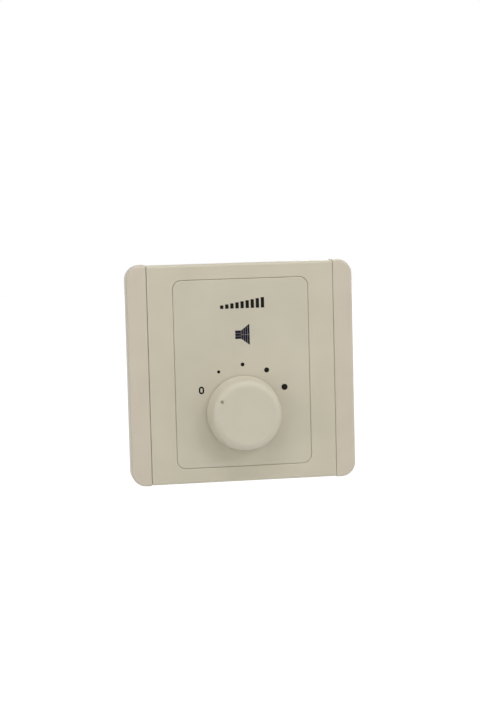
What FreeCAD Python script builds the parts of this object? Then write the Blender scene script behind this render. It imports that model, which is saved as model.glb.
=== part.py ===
import FreeCAD, Part
import math
import os
import Sketcher

# Wall-mounted volume control for loudspeaker lines. All sizes are in millimetres.
# X runs to the right, the front faces -Y and Z points up.
# The origin is the plate's centre, on the wall plane that the plate's rear face lies on.

document = FreeCAD.newDocument("volume_control")

sizes = {
    # wall plate
    "plate_width": 90.0,  # over both trim strips
    "cover_height": 86.4,
    "strip_width": 7.9,
    "strip_overhang": 0.3,  # strips reach this far past the cover at each end
    "strip_depth": 8.0,  # strip's front face above the wall
    "cover_rise": 0.3,  # cover's front face above the strips'
    "strip_gap": 0.1,  # shadow gap between cover and strip
    "corner_radius": 5.7,
    "moulding_wall": 1.8,
    "front_rounding": 1.0,
    "gap_rounding": 0.4,  # along the shadow gaps and the insert's window
    "wall_gap": 0.3,  # outer walls end this far off the wall
    "seat_gap": 0.25,  # between the frame's edge and the walls around it
    # insert panel in the cover's window
    "insert_border_across": 10.1,  # cover left standing beside the insert
    "insert_border_up": 6.1,
    "insert_radius": 3.4,
    "insert_thickness": 2.0,
    "insert_gap": 0.08,
    "insert_rounding": 0.4,
    "ledge_width": 1.2,
    "ledge_thickness": 1.0,
    "ledge_wall": 1.5,  # rim around the window, behind the front wall
    "shaft_opening": 12.0,
    # snap hooks
    "hook_thickness": 1.2,
    "hook_barb": 0.7,
    "hook_barb_height": 0.9,
    "hook_play": 0.1,
    "hook_slot_play": 0.3,
    "cover_hook_width": 6.0,
    "cover_hook_inset": 6.1,  # inner face of the arm from the cover's side
    "cover_hook_up": 20.0,
    "strip_hook_width": 5.0,
    "strip_hook_inset": 3.6,  # outer face of the arm from the plate's side
    "strip_hook_up": 24.0,
    "insert_hook_width": 5.0,
    "insert_hook_across": 15.0,
    # mounting frame
    "frame_thickness": 2.5,
    "screw_spacing": 60.3,  # wall-box screws
    "screw_slot_width": 4.6,
    "screw_slot_length": 7.4,
    "screw_pad_margin": 0.9,  # raised pad around each screw slot
    "screw_pad_height": 0.6,
    "rib_thickness": 1.4,
    "rib_clearance": 0.3,  # under the cover's front wall
    "rib_start": 9.0,  # side ribs leave the screw heads free up to here
    "rib_inset": 2.4,  # from the cover's side
    "floor_rib_gap": 1.5,  # beside the screw pads
    "floor_rib_edge": 8.0,
    "floor_rib_radius": 3.0,
    "floor_rib_height": 1.2,
    "seat_recess": 0.5,  # only the frame's rim meets the wall
    "seat_recess_margin": 0.3,  # round the posts
    "seat_recess_radius": 3.0,
    # posts and circuit board
    "board_width": 50.0,
    "board_height": 62.0,
    "board_thickness": 1.6,
    "board_gap": 1.0,  # behind the switch's rivets
    "board_radius": 1.5,
    "post_diameter": 6.6,
    "post_inset": 3.5,  # from the board's edges
    "post_bore": 2.5,
    "post_bore_depth": 10.0,
    "post_fillet": 0.8,
    "gusset_reach": 4.0,
    "gusset_height": 8.0,
    "gusset_thickness": 1.2,
    "board_screw_shank": 2.4,
    "board_screw_length": 8.0,
    "board_screw_head": 5.4,
    "board_screw_head_height": 1.9,
    "board_screw_hole": 3.0,
    # knob
    "knob_drop": 15.9,  # knob axis below the plate's centre
    "knob_diameter": 29.6,
    "knob_taper": 0.9,
    "knob_height": 9.5,
    "knob_gap": 0.6,
    "knob_rounding": 3.0,
    "knob_wall": 1.7,
    "knob_face": 2.0,
    "hub_wall": 2.0,
    "hub_recess": 0.5,
    "hub_slit": 1.0,
    "knob_rib_thickness": 1.0,
    "knob_rib_gap": 0.4,  # in front of the clip
    "knob_rib_count": 6,
    "knob_rib_bite": 0.3,  # ribs run this far into the hub and the wall
    "dimple_radius": 11.5,
    "dimple_diameter": 1.4,
    "dimple_depth": 0.8,
    "off_angle": 60.0,  # OFF stands this far left of the top
    "step_angle": 30.0,
    "clip_thickness": 0.5,
    "clip_width": 4.0,
    "clip_slit": 1.6,
    # switch shaft and bushing
    "shaft_diameter": 6.0,
    "shaft_flat": 1.5,
    "shaft_fit": 0.05,
    "shaft_end_gap": 0.2,
    "shaft_collar": 8.4,
    "shaft_collar_height": 0.3,
    "shaft_play": 0.1,
    "drive_square": 4.2,
    "journal_diameter": 3.8,
    "end_chamfer": 0.3,
    "ring_groove_depth": 0.7,
    "ring_groove_width": 0.6,
    "ring_rim": 1.7,  # outside the shaft
    "ring_thickness": 0.5,
    "bushing_wall": 1.5,
    "bushing_length": 6.0,
    "bushing_hole_gap": 0.1,
    "nut_wall": 1.5,
    "nut_height": 2.0,
    "nut_chamfer_angle": 30.0,
    "washer_overhang": 0.5,
    "washer_thickness": 0.5,
    "washer_teeth": 8,
    "washer_notch_width": 1.0,
    "washer_notch_depth": 1.0,
    "locating_lug": 2.4,
    "locating_lug_height": 1.6,
    "locating_lug_inset": 3.5,
    # rotary switch
    "switch_width": 25.0,
    "switch_corner": 2.0,
    "flange_thickness": 2.0,
    "housing_depth": 9.0,
    "housing_wall": 1.7,
    "detent_thickness": 2.7,
    "detent_inset": 2.2,  # inside the housing's bore
    "notch_count": 12,
    "notch_radius": 1.7,
    "notch_offset": 0.8,  # notch centres outside the wheel's edge
    "layer_gap": 0.15,
    "stop_thickness": 1.4,
    "stop_play": 0.6,
    "stop_lug_angle": 18.0,
    "stop_clearance_angle": 1.0,
    "stop_rise": 1.8,
    "stop_bite": 0.3,  # stops run this far into the housing's wall
    "positions": 5,
    "spring_thickness": 0.3,
    "spring_width": 2.4,
    "spring_length": 16.0,
    "spring_inset": 1.0,
    "spring_lift": 0.3,  # tip above the notch's floor
    "spring_tip_width": 0.9,
    "spring_slot_gap": 0.15,
    "rotor_inset": 3.3,
    "rotor_thickness": 2.4,
    "wiper_thickness": 0.4,
    "wiper_inner": 3.4,
    "wiper_outer": 6.0,
    "wiper_finger_width": 2.2,
    "wiper_dome": 1.6,
    "contact_inset": 2.6,
    "contact_diameter": 2.4,
    "contact_thickness": 0.3,
    "contact_gap": 0.05,
    "common_inner": 4.0,
    "common_outer": 5.6,
    "stator_thickness": 1.4,
    "rivet_diameter": 2.0,
    "rivet_head": 3.4,
    "rivet_head_height": 0.5,
    "rivet_inset": 2.4,
    "pin_diameter": 0.9,
    "pin_hole": 1.1,
    "pin_reach": 1.5,  # beyond the board's far face
    "strip_pin_hole": 1.3,
    # transformer
    "core_width": 30.0,
    "core_height": 25.0,
    "core_stack": 12.0,
    "core_leg": 10.0,
    "transformer_gap": 1.4,  # below the terminal block
    "coil_gap": 0.1,
    "bobbin_standoff": 0.4,  # pin bars above the board
    "bobbin_wall": 0.8,
    "bobbin_flange": 0.9,
    "bobbin_overhang": 5.2,  # flange beyond the stack's face
    "bobbin_bar": 4.0,
    "winding_inset": 0.5,
    "winding_rounding": 1.8,
    "coil_pin_inner": 2.5,
    "coil_pin_outer": 7.5,
    "coil_pin_depth": 2.0,
    "clamp_thickness": 0.8,
    "clamp_width": 10.0,
    "clamp_foot_margin": 3.4,
    "clamp_bend": 0.8,
    "clamp_hole_offset": 3.6,  # beside the clamp's leg
    "clamp_screw": 3.0,
    "clamp_screw_hole": 3.3,
    "clamp_screw_head": 5.4,
    "clamp_screw_head_height": 1.9,
    "clamp_nut_flats": 5.5,
    "clamp_nut_height": 2.2,
    # terminal block
    "pole_pitch": 5.08,
    "pole_count": 4,
    "block_depth": 10.0,
    "block_height": 12.4,
    "block_top_gap": 0.4,  # below the board's top edge
    "block_chamfer": 2.0,
    "chamber_width": 4.0,
    "chamber_depth": 6.0,
    "chamber_start": 2.0,  # wall behind the wire entry
    "chamber_floor": 1.2,
    "entry_width": 3.4,
    "entry_height": 2.6,
    "entry_chamfer": 0.4,
    "cage_width": 3.6,
    "cage_side": 0.5,
    "cage_floor": 0.8,
    "cage_roof": 0.9,
    "cage_height": 5.1,
    "cage_travel": 2.2,
    "cage_play": 0.2,
    "strip_contact_thickness": 0.8,
    "strip_contact_width": 2.2,
    "strip_contact_play": 0.2,
    "block_ledge": 0.8,
    "screw_diameter": 2.5,
    "screw_thread_gap": 0.05,
    "screw_head": 3.6,
    "screw_head_height": 1.6,
    "screw_head_bore": 3.9,
    "screw_driver_slot": 0.6,
    "screw_driver_depth": 0.8,
}


class Size:
    """A length that knows its value and the expression that binds it to the sheet."""

    def __init__(self, value, text):
        self.value = value
        self.text = text

    def joined(self, sign, other, value):
        return Size(value, f"({self.text} {sign} {other.text})")

    def __add__(self, other):
        other = as_size(other)
        return self.joined("+", other, self.value + other.value)

    def __sub__(self, other):
        other = as_size(other)
        return self.joined("-", other, self.value - other.value)

    def __mul__(self, other):
        other = as_size(other)
        return self.joined("*", other, self.value * other.value)

    def __truediv__(self, other):
        other = as_size(other)
        return self.joined("/", other, self.value / other.value)

    def __radd__(self, other):
        return as_size(other) + self

    def __rsub__(self, other):
        return as_size(other) - self

    def __rmul__(self, other):
        return as_size(other) * self

    def __neg__(self):
        return as_size(0) - self


def as_size(number):
    return number if isinstance(number, Size) else Size(float(number), str(float(number)))


def sine(angle):
    return Size(math.sin(math.radians(angle.value)), f"sin({angle.text})")


def cosine(angle):
    return Size(math.cos(math.radians(angle.value)), f"cos({angle.text})")


def fill_sheet():
    """Writes the driving dimensions into the document's spreadsheet."""
    sheet = document.addObject("Spreadsheet::Sheet", "sizes")
    for row, (alias, value) in enumerate(sizes.items(), 1):
        sheet.set(f"A{row}", alias)
        sheet.set(f"B{row}", str(value))
        sheet.setAlias(f"B{row}", alias)
    document.recompute()
    return sheet


class Bound:
    """Gives each driving dimension as a Size, by its name."""

    def __init__(self, sheet):
        self.sheet = sheet

    def __getattr__(self, alias):
        return Size(float(self.sheet.get(alias)), f"sizes.{alias}")


d = Bound(fill_sheet())

# widths and places that several pieces share
cover_width = d.plate_width - 2 * (d.strip_width + d.strip_gap)
strip_height = d.cover_height + 2 * d.strip_overhang
insert_width = cover_width - 2 * d.insert_border_across
insert_height = d.cover_height - 2 * d.insert_border_up
cover_hook_across = cover_width / 2 - d.cover_hook_inset
strip_hook_across = d.plate_width / 2 - d.strip_hook_inset
frame_across = d.plate_width / 2 - d.moulding_wall - d.seat_gap
frame_up = d.cover_height / 2 - d.moulding_wall - d.seat_gap
rib_across = cover_width / 2 - d.rib_inset
screw_across = d.screw_spacing / 2
pad_reach = d.screw_slot_length / 2 + d.screw_pad_margin
floor_rib_across = screw_across - pad_reach - d.floor_rib_gap
floor_rib_up = frame_up - d.floor_rib_edge
post_across = d.board_width / 2 - d.post_inset
post_up = d.board_height / 2 - d.post_inset
post_reach = d.post_diameter / 2 + d.post_fillet + d.seat_recess_margin
hub_diameter = d.shaft_diameter + 2 * d.hub_wall
bushing_diameter = d.shaft_diameter + 2 * d.bushing_wall
nut_across_flats = bushing_diameter + 2 * d.nut_wall
washer_diameter = nut_across_flats + 2 * d.washer_overhang
ring_groove_diameter = d.shaft_diameter - 2 * d.ring_groove_depth
ring_diameter = d.shaft_diameter + 2 * d.ring_rim
locating_lug_across = d.switch_width / 2 - d.locating_lug_inset
rivet_across = d.switch_width / 2 - d.rivet_inset
housing_bore = d.switch_width - 2 * d.housing_wall
detent_diameter = housing_bore - 2 * d.detent_inset
notch_centre = detent_diameter / 2 + d.notch_offset
stop_reach = housing_bore / 2 - d.stop_play
stop_inner_radius = housing_bore / 2 - d.stop_rise
spring_radius = housing_bore / 2 - d.spring_inset
spring_tip_radius = notch_centre - d.notch_radius + d.spring_lift
rotor_diameter = housing_bore - 2 * d.rotor_inset
contact_radius = housing_bore / 2 - d.contact_inset
clamp_hole_across = d.core_width / 2 + d.clamp_thickness + d.clamp_hole_offset
clamp_foot = clamp_hole_across + d.clamp_foot_margin
block_bottom = d.board_height / 2 - d.block_top_gap - d.block_depth
coil_reach = d.core_stack / 2 + d.bobbin_overhang
transformer_rise = block_bottom - d.transformer_gap - coil_reach

# levels along Y that several pieces share
cover_front = -(d.strip_depth + d.cover_rise)
cover_inside = cover_front + d.moulding_wall
insert_back = cover_front + d.insert_thickness
ledge_back = insert_back + d.ledge_thickness
frame_front = -d.frame_thickness
recess_face = -d.seat_recess
knob_back = cover_front - d.knob_gap
knob_front = knob_back - d.knob_height
hub_back = knob_back - d.hub_recess
knob_floor = knob_front + d.knob_face
shaft_front = knob_floor + d.shaft_end_gap
flange_back = recess_face + d.flange_thickness
bushing_front = recess_face - d.bushing_length
detent_front = flange_back + d.shaft_play + d.shaft_collar_height
detent_back = detent_front + d.detent_thickness
stop_front = detent_back + d.layer_gap
stop_back = stop_front + d.stop_thickness
rotor_back = stop_back + d.rotor_thickness
housing_back = flange_back + d.housing_depth
stator_back = housing_back + d.stator_thickness
board_front = stator_back + d.rivet_head_height + d.board_gap
board_back = board_front + d.board_thickness
pin_end = board_back + d.pin_reach
contact_front = housing_back - d.contact_thickness
ring_front = bushing_front - d.ring_groove_width - d.shaft_play
pad_front = frame_front - d.screw_pad_height


def origin_item(body, role):
    return next(item for item in body.Origin.OriginFeatures if item.Role == role)


def new_body(label, across=0, depth=0, up=0):
    """A body for one sub-part, placed by its own reference point."""
    body = document.addObject("PartDesign::Body", label)
    body.Label = label
    body.AllowCompound = True
    for axis, size in (("x", across), ("y", depth), ("z", up)):
        if isinstance(size, Size):
            body.setExpression(f"Placement.Base.{axis}", size.text)
    return body


def new_sketch(body, plane, offset):
    sketch = body.newObject("Sketcher::SketchObject", f"{body.Label}_sketch")
    sketch.AttachmentSupport = [(origin_item(body, plane), "")]
    sketch.MapMode = "FlatFace"
    sketch.setExpression("AttachmentOffset.Base.z", as_size(offset).text)
    return sketch


def fix(sketch, kind, places, size):
    """Adds one dimension to a sketch and binds it to the sheet."""
    size = as_size(size)
    number = sketch.addConstraint(Sketcher.Constraint(kind, *places, size.value))
    sketch.setExpression(f"Constraints[{number}]", size.text)


def fix_point(sketch, part, end, across, up):
    fix(sketch, "DistanceX", (-1, 1, part, end), across)
    fix(sketch, "DistanceY", (-1, 1, part, end), up)


def arc_through(start, end, radius):
    """Arc from start to end. It turns left where the radius is positive."""
    chord = end - start
    side = FreeCAD.Vector(-chord.y, chord.x, 0).normalize()
    rise = math.sqrt(max(radius**2 - (chord.Length / 2) ** 2, 0))
    centre = (start + end) / 2 + side * (rise if radius > 0 else -rise)
    first, last = (start, end) if radius > 0 else (end, start)
    angles = [math.atan2(p.y - centre.y, p.x - centre.x) for p in (first, last)]
    ring = Part.Circle(centre, FreeCAD.Vector(0, 0, 1), abs(radius))
    return Part.ArcOfCircle(ring, angles[0], angles[1])


def outline(sketch, steps):
    """Closed outline. A step's third value makes the way to its point an arc of that radius."""
    base = sketch.GeometryCount
    points = [(as_size(step[0]), as_size(step[1])) for step in steps]
    spots = [FreeCAD.Vector(across.value, up.value, 0) for across, up in points]
    ends = []
    for number, step in enumerate(steps):
        start, end = spots[number - 1], spots[number]
        if len(step) == 2:
            sketch.addGeometry(Part.LineSegment(start, end), False)
            ends.append((1, 2))
            continue
        radius = as_size(step[2])
        part = sketch.addGeometry(arc_through(start, end, radius.value), False)
        ends.append((1, 2) if radius.value > 0 else (2, 1))
        fix(sketch, "Radius", (part,), radius if radius.value > 0 else -radius)
    for number, (across, up) in enumerate(points):
        following = (number + 1) % len(points)
        here = (base + number, ends[number][1])
        joined = (base + following, ends[following][0])
        sketch.addConstraint(Sketcher.Constraint("Coincident", *here, *joined))
        fix_point(sketch, *here, across, up)


def rectangle(sketch, left, right, bottom, top):
    outline(sketch, [(left, bottom), (right, bottom), (right, top), (left, top)])


def rounded_rectangle(sketch, left, right, bottom, top, radius):
    outline(
        sketch,
        [
            (right - radius, bottom),
            (right, bottom + radius, radius),
            (right, top - radius),
            (right - radius, top, radius),
            (left + radius, top),
            (left, top - radius, radius),
            (left, bottom + radius),
            (left + radius, bottom, radius),
        ],
    )


def centred_box(sketch, width, height, radius):
    rounded_rectangle(sketch, -width / 2, width / 2, -height / 2, height / 2, radius)


def circle(sketch, diameter, across=0, up=0):
    across, up, diameter = as_size(across), as_size(up), as_size(diameter)
    centre = FreeCAD.Vector(across.value, up.value, 0)
    shape = Part.Circle(centre, FreeCAD.Vector(0, 0, 1), diameter.value / 2)
    part = sketch.addGeometry(shape, False)
    fix_point(sketch, part, 3, across, up)
    fix(sketch, "Diameter", (part,), diameter)


def slot(sketch, length, width, across, up=0):
    """Slot with round ends that runs across."""
    base = sketch.GeometryCount
    across, up, radius = as_size(across), as_size(up), width / 2
    ends = [across - (length - width) / 2, across + (length - width) / 2]
    for number, end in enumerate(ends):
        centre = FreeCAD.Vector(end.value, up.value, 0)
        ring = Part.Circle(centre, FreeCAD.Vector(0, 0, 1), radius.value)
        first = math.pi / 2 - number * math.pi
        sketch.addGeometry(Part.ArcOfCircle(ring, first, first + math.pi), False)
        fix_point(sketch, base + number, 3, end, up)
        fix(sketch, "Radius", (base + number,), radius)
    for number, rise in enumerate((radius.value, -radius.value)):
        spots = [FreeCAD.Vector(end.value, up.value + rise, 0) for end in ends]
        line = sketch.addGeometry(Part.LineSegment(*spots), False)
        for side, end in enumerate(ends):
            arc_end = 1 if side == number else 2
            joined = Sketcher.Constraint("Coincident", line, side + 1, base + side, arc_end)
            sketch.addConstraint(joined)
            fix(sketch, "DistanceX", (-1, 1, line, side + 1), end)


def between(body, kind, low, high, draw, plane):
    """Pad or pocket between two places on the plane's normal axis."""
    low, high = as_size(low), as_size(high)
    if plane == "XZ_Plane":
        low, high = -high, -low
    sketch = new_sketch(body, plane, low if kind == "Pad" else high)
    draw(sketch)
    feature = body.newObject(f"PartDesign::{kind}", f"{body.Label}_{kind.lower()}")
    feature.Profile = sketch
    feature.setExpression("Length", (high - low).text)
    document.recompute()
    return feature


def add(body, low, high, draw, plane="XZ_Plane"):
    return between(body, "Pad", low, high, draw, plane)


def cut(body, low, high, draw, plane="XZ_Plane"):
    return between(body, "Pocket", low, high, draw, plane)


def turned(body, kind, draw):
    """Revolution or groove about the body's own Y axis, from a half section in its YZ plane."""
    sketch = new_sketch(body, "YZ_Plane", 0)
    draw(sketch)
    feature = body.newObject(f"PartDesign::{kind}", f"{body.Label}_{kind.lower()}")
    feature.Profile = sketch
    feature.ReferenceAxis = (sketch, ["H_Axis"])
    feature.Angle = 360
    document.recompute()
    return feature


def repeated(body, features, count):
    """Repeats features evenly around the body's own Y axis."""
    pattern = body.newObject("PartDesign::PolarPattern", f"{body.Label}_pattern")
    pattern.Originals = features
    pattern.Axis = (origin_item(body, "Y_Axis"), [""])
    pattern.Angle = 360
    pattern.setExpression("Occurrences", count.text)
    body.Tip = pattern
    document.recompute()
    return pattern


def dressed(body, kind, radius, wanted):
    """Fillet or chamfer on the edges whose boxes are wanted."""
    base = body.Tip
    edges = [
        f"Edge{number}"
        for number, edge in enumerate(base.Shape.Edges, 1)
        if wanted(edge.BoundBox)
    ]
    feature = body.newObject(f"PartDesign::{kind}", f"{body.Label}_{kind.lower()}")
    feature.Base = (base, edges)
    feature.setExpression("Radius" if kind == "Fillet" else "Size", as_size(radius).text)
    document.recompute()
    return feature


def near(value, size):
    return abs(value - as_size(size).value) < 0.01


def all_corners(across, up):
    return [(x * across, z * up) for x in (-1, 1) for z in (-1, 1)]


def hook(sketch, side, inner, thickness, barb, root, tip, standing=False):
    """Section of a snap hook: an arm from root to tip along Y, with a barb on its outer side."""
    outer, catch = inner + thickness, tip - d.hook_barb_height
    steps = [
        (inner, root),
        (outer, root),
        (outer, catch),
        (outer + barb, catch),
        (outer + barb, catch + d.hook_barb_height / 3),
        (outer - barb / 3, tip),
        (inner, tip),
    ]
    if standing:
        outline(sketch, [(depth, side * place) for place, depth in steps])
    else:
        outline(sketch, [(side * place, depth) for place, depth in steps])


hook_tip = -d.wall_gap
hook_catch = hook_tip - d.hook_barb_height
recess_front = hook_catch - d.hook_play


def hook_slots(body, across, thickness, barb, up, width):
    """Slots for four hooks in the frame, each with a recess behind it where the barb catches."""
    play = d.hook_slot_play
    sign = 1 if barb.value > 0 else -1
    inner = across - barb - sign * play
    arm = across + thickness + sign * play
    caught = across + thickness + barb + sign * play

    def openings(sketch, outer):
        for side, height in all_corners(1, 1):
            low, high = height * up - width / 2 - play, height * up + width / 2 + play
            rectangle(sketch, side * inner, side * outer, low, high)

    cut(body, frame_front, 0, lambda sketch: openings(sketch, arm))
    cut(body, recess_front, 0, lambda sketch: openings(sketch, caught))


def mounting_frame():
    body = new_body("mounting_frame")
    radius = d.corner_radius - d.moulding_wall - d.seat_gap
    add(body, frame_front, 0, lambda s: centred_box(s, frame_across * 2, frame_up * 2, radius))

    def ribs(sketch):
        outer, inner = rib_across, rib_across - d.rib_thickness
        for side in (-1, 1):
            start, high = side * d.rib_start, side * frame_up
            low = side * (frame_up - d.rib_thickness)
            outline(
                sketch,
                [
                    (-outer, start),
                    (-inner, start),
                    (-inner, low),
                    (inner, low),
                    (inner, start),
                    (outer, start),
                    (outer, high),
                    (-outer, high),
                ],
            )

    add(body, cover_inside + d.rib_clearance, frame_front, ribs)

    def screw_slots(sketch, margin):
        for side in (-1, 1):
            length, width = d.screw_slot_length + 2 * margin, d.screw_slot_width + 2 * margin
            slot(sketch, length, width, side * screw_across)

    add(body, pad_front, frame_front, lambda s: screw_slots(s, d.screw_pad_margin))
    cut(body, pad_front, 0, lambda s: screw_slots(s, 0))

    def floor_rib(sketch):
        for inset in (0, d.rib_thickness):
            across, up = floor_rib_across - inset, floor_rib_up - inset
            centred_box(sketch, 2 * across, 2 * up, d.floor_rib_radius - inset)

    add(body, frame_front - d.floor_rib_height, frame_front, floor_rib)
    across, up = post_across + post_reach, post_up + post_reach
    cut(body, recess_face, 0, lambda s: centred_box(s, 2 * across, 2 * up, d.seat_recess_radius))
    board_posts(body)
    hook_slots(
        body,
        cover_hook_across,
        d.hook_thickness,
        d.hook_barb,
        d.cover_hook_up,
        d.cover_hook_width,
    )
    hook_slots(
        body,
        strip_hook_across,
        -d.hook_thickness,
        -d.hook_barb,
        d.strip_hook_up,
        d.strip_hook_width,
    )

    def switch_holes(sketch):
        circle(sketch, bushing_diameter + 2 * d.bushing_hole_gap, 0, -d.knob_drop)
        lug = locating_lug_across
        circle(sketch, d.locating_lug + 2 * d.bushing_hole_gap, lug, lug - d.knob_drop)

    cut(body, frame_front, 0, switch_holes)
    return body


def board_posts(body):
    """Hollow posts for the board's screws, each with two gussets toward the middle."""

    def posts(sketch, diameter):
        for across, up in all_corners(post_across, post_up):
            circle(sketch, diameter, across, up)

    def gusset(sketch, side, start):
        near_edge, far_edge = side * start, side * (start - d.gusset_reach)
        return [(near_edge, recess_face), (near_edge, gusset_top), (far_edge, recess_face)]

    add(body, recess_face, board_front, lambda s: posts(s, d.post_diameter))
    dressed(
        body,
        "Fillet",
        d.post_fillet,
        lambda box: near(box.YMin, recess_face)
        and near(box.YMax, recess_face)
        and near(box.XLength, d.post_diameter),
    )
    gusset_top = recess_face + d.gusset_height
    half, root_radius = d.gusset_thickness / 2, d.post_diameter / 2 - d.gusset_thickness / 2
    for side, height in all_corners(1, 1):
        across, up = side * post_across, height * post_up
        inner, low = post_across - root_radius, post_up - root_radius
        add(
            body,
            up - half,
            up + half,
            lambda s: outline(s, gusset(s, side, inner)),
            "XY_Plane",
        )
        add(
            body,
            across - half,
            across + half,
            lambda s: outline(s, [(depth, z) for z, depth in gusset(s, height, low)]),
            "YZ_Plane",
        )
    cut(body, board_front - d.post_bore_depth, board_front, lambda s: posts(s, d.post_bore))


def front_cover():
    body = new_body("front_cover")
    across, up = cover_width / 2, d.cover_height / 2
    inner_across, inner_up = across - d.moulding_wall, up - d.moulding_wall
    window_width = insert_width + 2 * d.insert_gap
    window_height = insert_height + 2 * d.insert_gap
    window_radius = d.insert_radius + d.insert_gap
    add(body, cover_front, -d.wall_gap, lambda s: rectangle(s, -across, across, -up, up))
    dressed(
        body,
        "Fillet",
        d.front_rounding,
        lambda box: near(box.YMax, cover_front) and box.XLength > box.ZLength,
    )
    dressed(
        body,
        "Fillet",
        d.gap_rounding,
        lambda box: near(box.YMax, cover_front) and box.ZLength > box.XLength,
    )

    def cavity(sketch):
        rectangle(sketch, -inner_across, inner_across, -inner_up, inner_up)

    def side_wall_ends(sketch):
        for side in (-1, 1):
            rectangle(sketch, side * inner_across, side * across, -inner_up, inner_up)

    cut(body, cover_inside, -d.wall_gap, cavity)
    cut(body, pad_front - d.rib_clearance, -d.wall_gap, side_wall_ends)
    rim = 2 * d.ledge_wall
    add(
        body,
        cover_inside,
        ledge_back,
        lambda s: centred_box(
            s, window_width + rim, window_height + rim, window_radius + d.ledge_wall
        ),
    )
    cut(
        body,
        cover_front,
        insert_back,
        lambda s: centred_box(s, window_width, window_height, window_radius),
    )
    ledge = 2 * d.ledge_width
    cut(
        body,
        insert_back,
        ledge_back,
        lambda s: centred_box(
            s, window_width - ledge, window_height - ledge, window_radius - d.ledge_width
        ),
    )
    dressed(
        body,
        "Fillet",
        d.gap_rounding,
        lambda box: near(box.YMin, cover_front)
        and near(box.YMax, cover_front)
        and abs(box.Center.x) < (window_width / 2 + d.ledge_wall).value
        and abs(box.Center.z) < (window_height / 2 + d.ledge_wall).value,
    )
    for side, height in all_corners(1, 1):
        low = height * d.cover_hook_up - d.cover_hook_width / 2
        inner, thickness = cover_hook_across, d.hook_thickness

        def section(sketch):
            hook(sketch, side, inner, thickness, d.hook_barb, cover_inside, hook_tip)

        add(body, low, low + d.cover_hook_width, section, "XY_Plane")
    return body


def trim_strip(label, turned_over):
    """Side strip of the plate. The left one is the same moulding turned over."""
    body = new_body(label)
    inner, outer = cover_width / 2 + d.strip_gap, d.plate_width / 2
    up, wall, front = strip_height / 2, d.moulding_wall, -d.strip_depth

    def shape(sketch, inset):
        low, high, radius = inner + inset, outer - inset, d.corner_radius - inset
        outline(
            sketch,
            [
                (low, inset - up),
                (high - radius, inset - up),
                (high, inset - up + radius, radius),
                (high, up - inset - radius),
                (high - radius, up - inset, radius),
                (low, up - inset),
            ],
        )

    def on_front(box):
        return near(box.YMin, front) and near(box.YMax, front)

    def inner_edge(box):
        return on_front(box) and near(box.XMax, inner)

    add(body, front, -d.wall_gap, lambda s: shape(s, as_size(0)))
    dressed(body, "Fillet", d.front_rounding, lambda box: on_front(box) and not inner_edge(box))
    dressed(body, "Fillet", d.gap_rounding, inner_edge)
    cut(body, front + wall, -d.wall_gap, lambda s: shape(s, wall))
    cut(
        body,
        pad_front - d.rib_clearance,
        -d.wall_gap,
        lambda s: rectangle(s, inner, inner + wall, wall - up, up - wall),
    )
    for height in (-1, 1):
        low = height * d.strip_hook_up - d.strip_hook_width / 2
        across, thickness, barb = strip_hook_across, -d.hook_thickness, -d.hook_barb

        def section(sketch):
            hook(sketch, 1, across, thickness, barb, front + wall, hook_tip)

        add(body, low, low + d.strip_hook_width, section, "XY_Plane")
    if turned_over:
        body.Placement = FreeCAD.Placement(
            FreeCAD.Vector(), FreeCAD.Rotation(FreeCAD.Vector(0, 1, 0), 180)
        )
    return body


def insert_panel():
    body = new_body("insert_panel")
    add(
        body,
        cover_front,
        insert_back,
        lambda s: centred_box(s, insert_width, insert_height, d.insert_radius),
    )
    dressed(
        body,
        "Fillet",
        d.insert_rounding,
        lambda box: near(box.YMin, cover_front) and near(box.YMax, cover_front),
    )
    cut(
        body, cover_front, insert_back, lambda s: circle(s, d.shaft_opening, 0, -d.knob_drop)
    )
    ledge_edge = insert_height / 2 + d.insert_gap - d.ledge_width
    inner = ledge_edge - 2 * d.hook_play - d.hook_thickness
    tip = ledge_back + d.hook_play + d.hook_barb_height
    for across, height in all_corners(1, 1):
        low = across * d.insert_hook_across - d.insert_hook_width / 2

        def section(sketch):
            hook(
                sketch, height, inner, d.hook_thickness, d.hook_barb, insert_back, tip, True
            )

        add(body, low, low + d.insert_hook_width, section, "YZ_Plane")
    return body


def knob():
    """Round knob, drawn about its own axis, with its hub, its ribs and the pointer dimple."""
    body = new_body("knob", up=-d.knob_drop)
    base, top = d.knob_diameter / 2, d.knob_diameter / 2 - d.knob_taper

    def solid(sketch):
        outline(
            sketch,
            [
                (knob_back, 0),
                (knob_back, base),
                (knob_front + d.knob_rounding, top),
                (knob_front, top - d.knob_rounding, d.knob_rounding),
                (knob_front, 0),
            ],
        )

    def hollow(sketch):
        hub = hub_diameter / 2
        outline(
            sketch,
            [
                (knob_back, 0),
                (knob_back, base - d.knob_wall),
                (knob_floor, top - d.knob_wall),
                (knob_floor, hub),
                (hub_back, hub),
                (hub_back, 0),
            ],
        )

    turned(body, "Revolution", solid)
    turned(body, "Groove", hollow)
    rib = add(
        body,
        knob_floor,
        hub_back - d.clip_width - d.knob_rib_gap,
        lambda s: rectangle(
            s,
            -d.knob_rib_thickness / 2,
            d.knob_rib_thickness / 2,
            hub_diameter / 2 - d.knob_rib_bite,
            top - d.knob_wall + d.knob_rib_bite,
        ),
    )
    repeated(body, [rib], d.knob_rib_count)
    cut(body, knob_floor, hub_back, lambda s: shaft_section(s, d.shaft_fit))
    cut(
        body,
        hub_back - d.clip_width,
        hub_back,
        lambda s: rectangle(s, -hub_diameter, hub_diameter, -d.hub_slit / 2, d.hub_slit / 2),
    )
    across, up = -sine(d.off_angle) * d.dimple_radius, cosine(d.off_angle) * d.dimple_radius
    cut(
        body,
        knob_front,
        knob_front + d.dimple_depth,
        lambda s: circle(s, d.dimple_diameter, across, up),
    )
    return body


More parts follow.
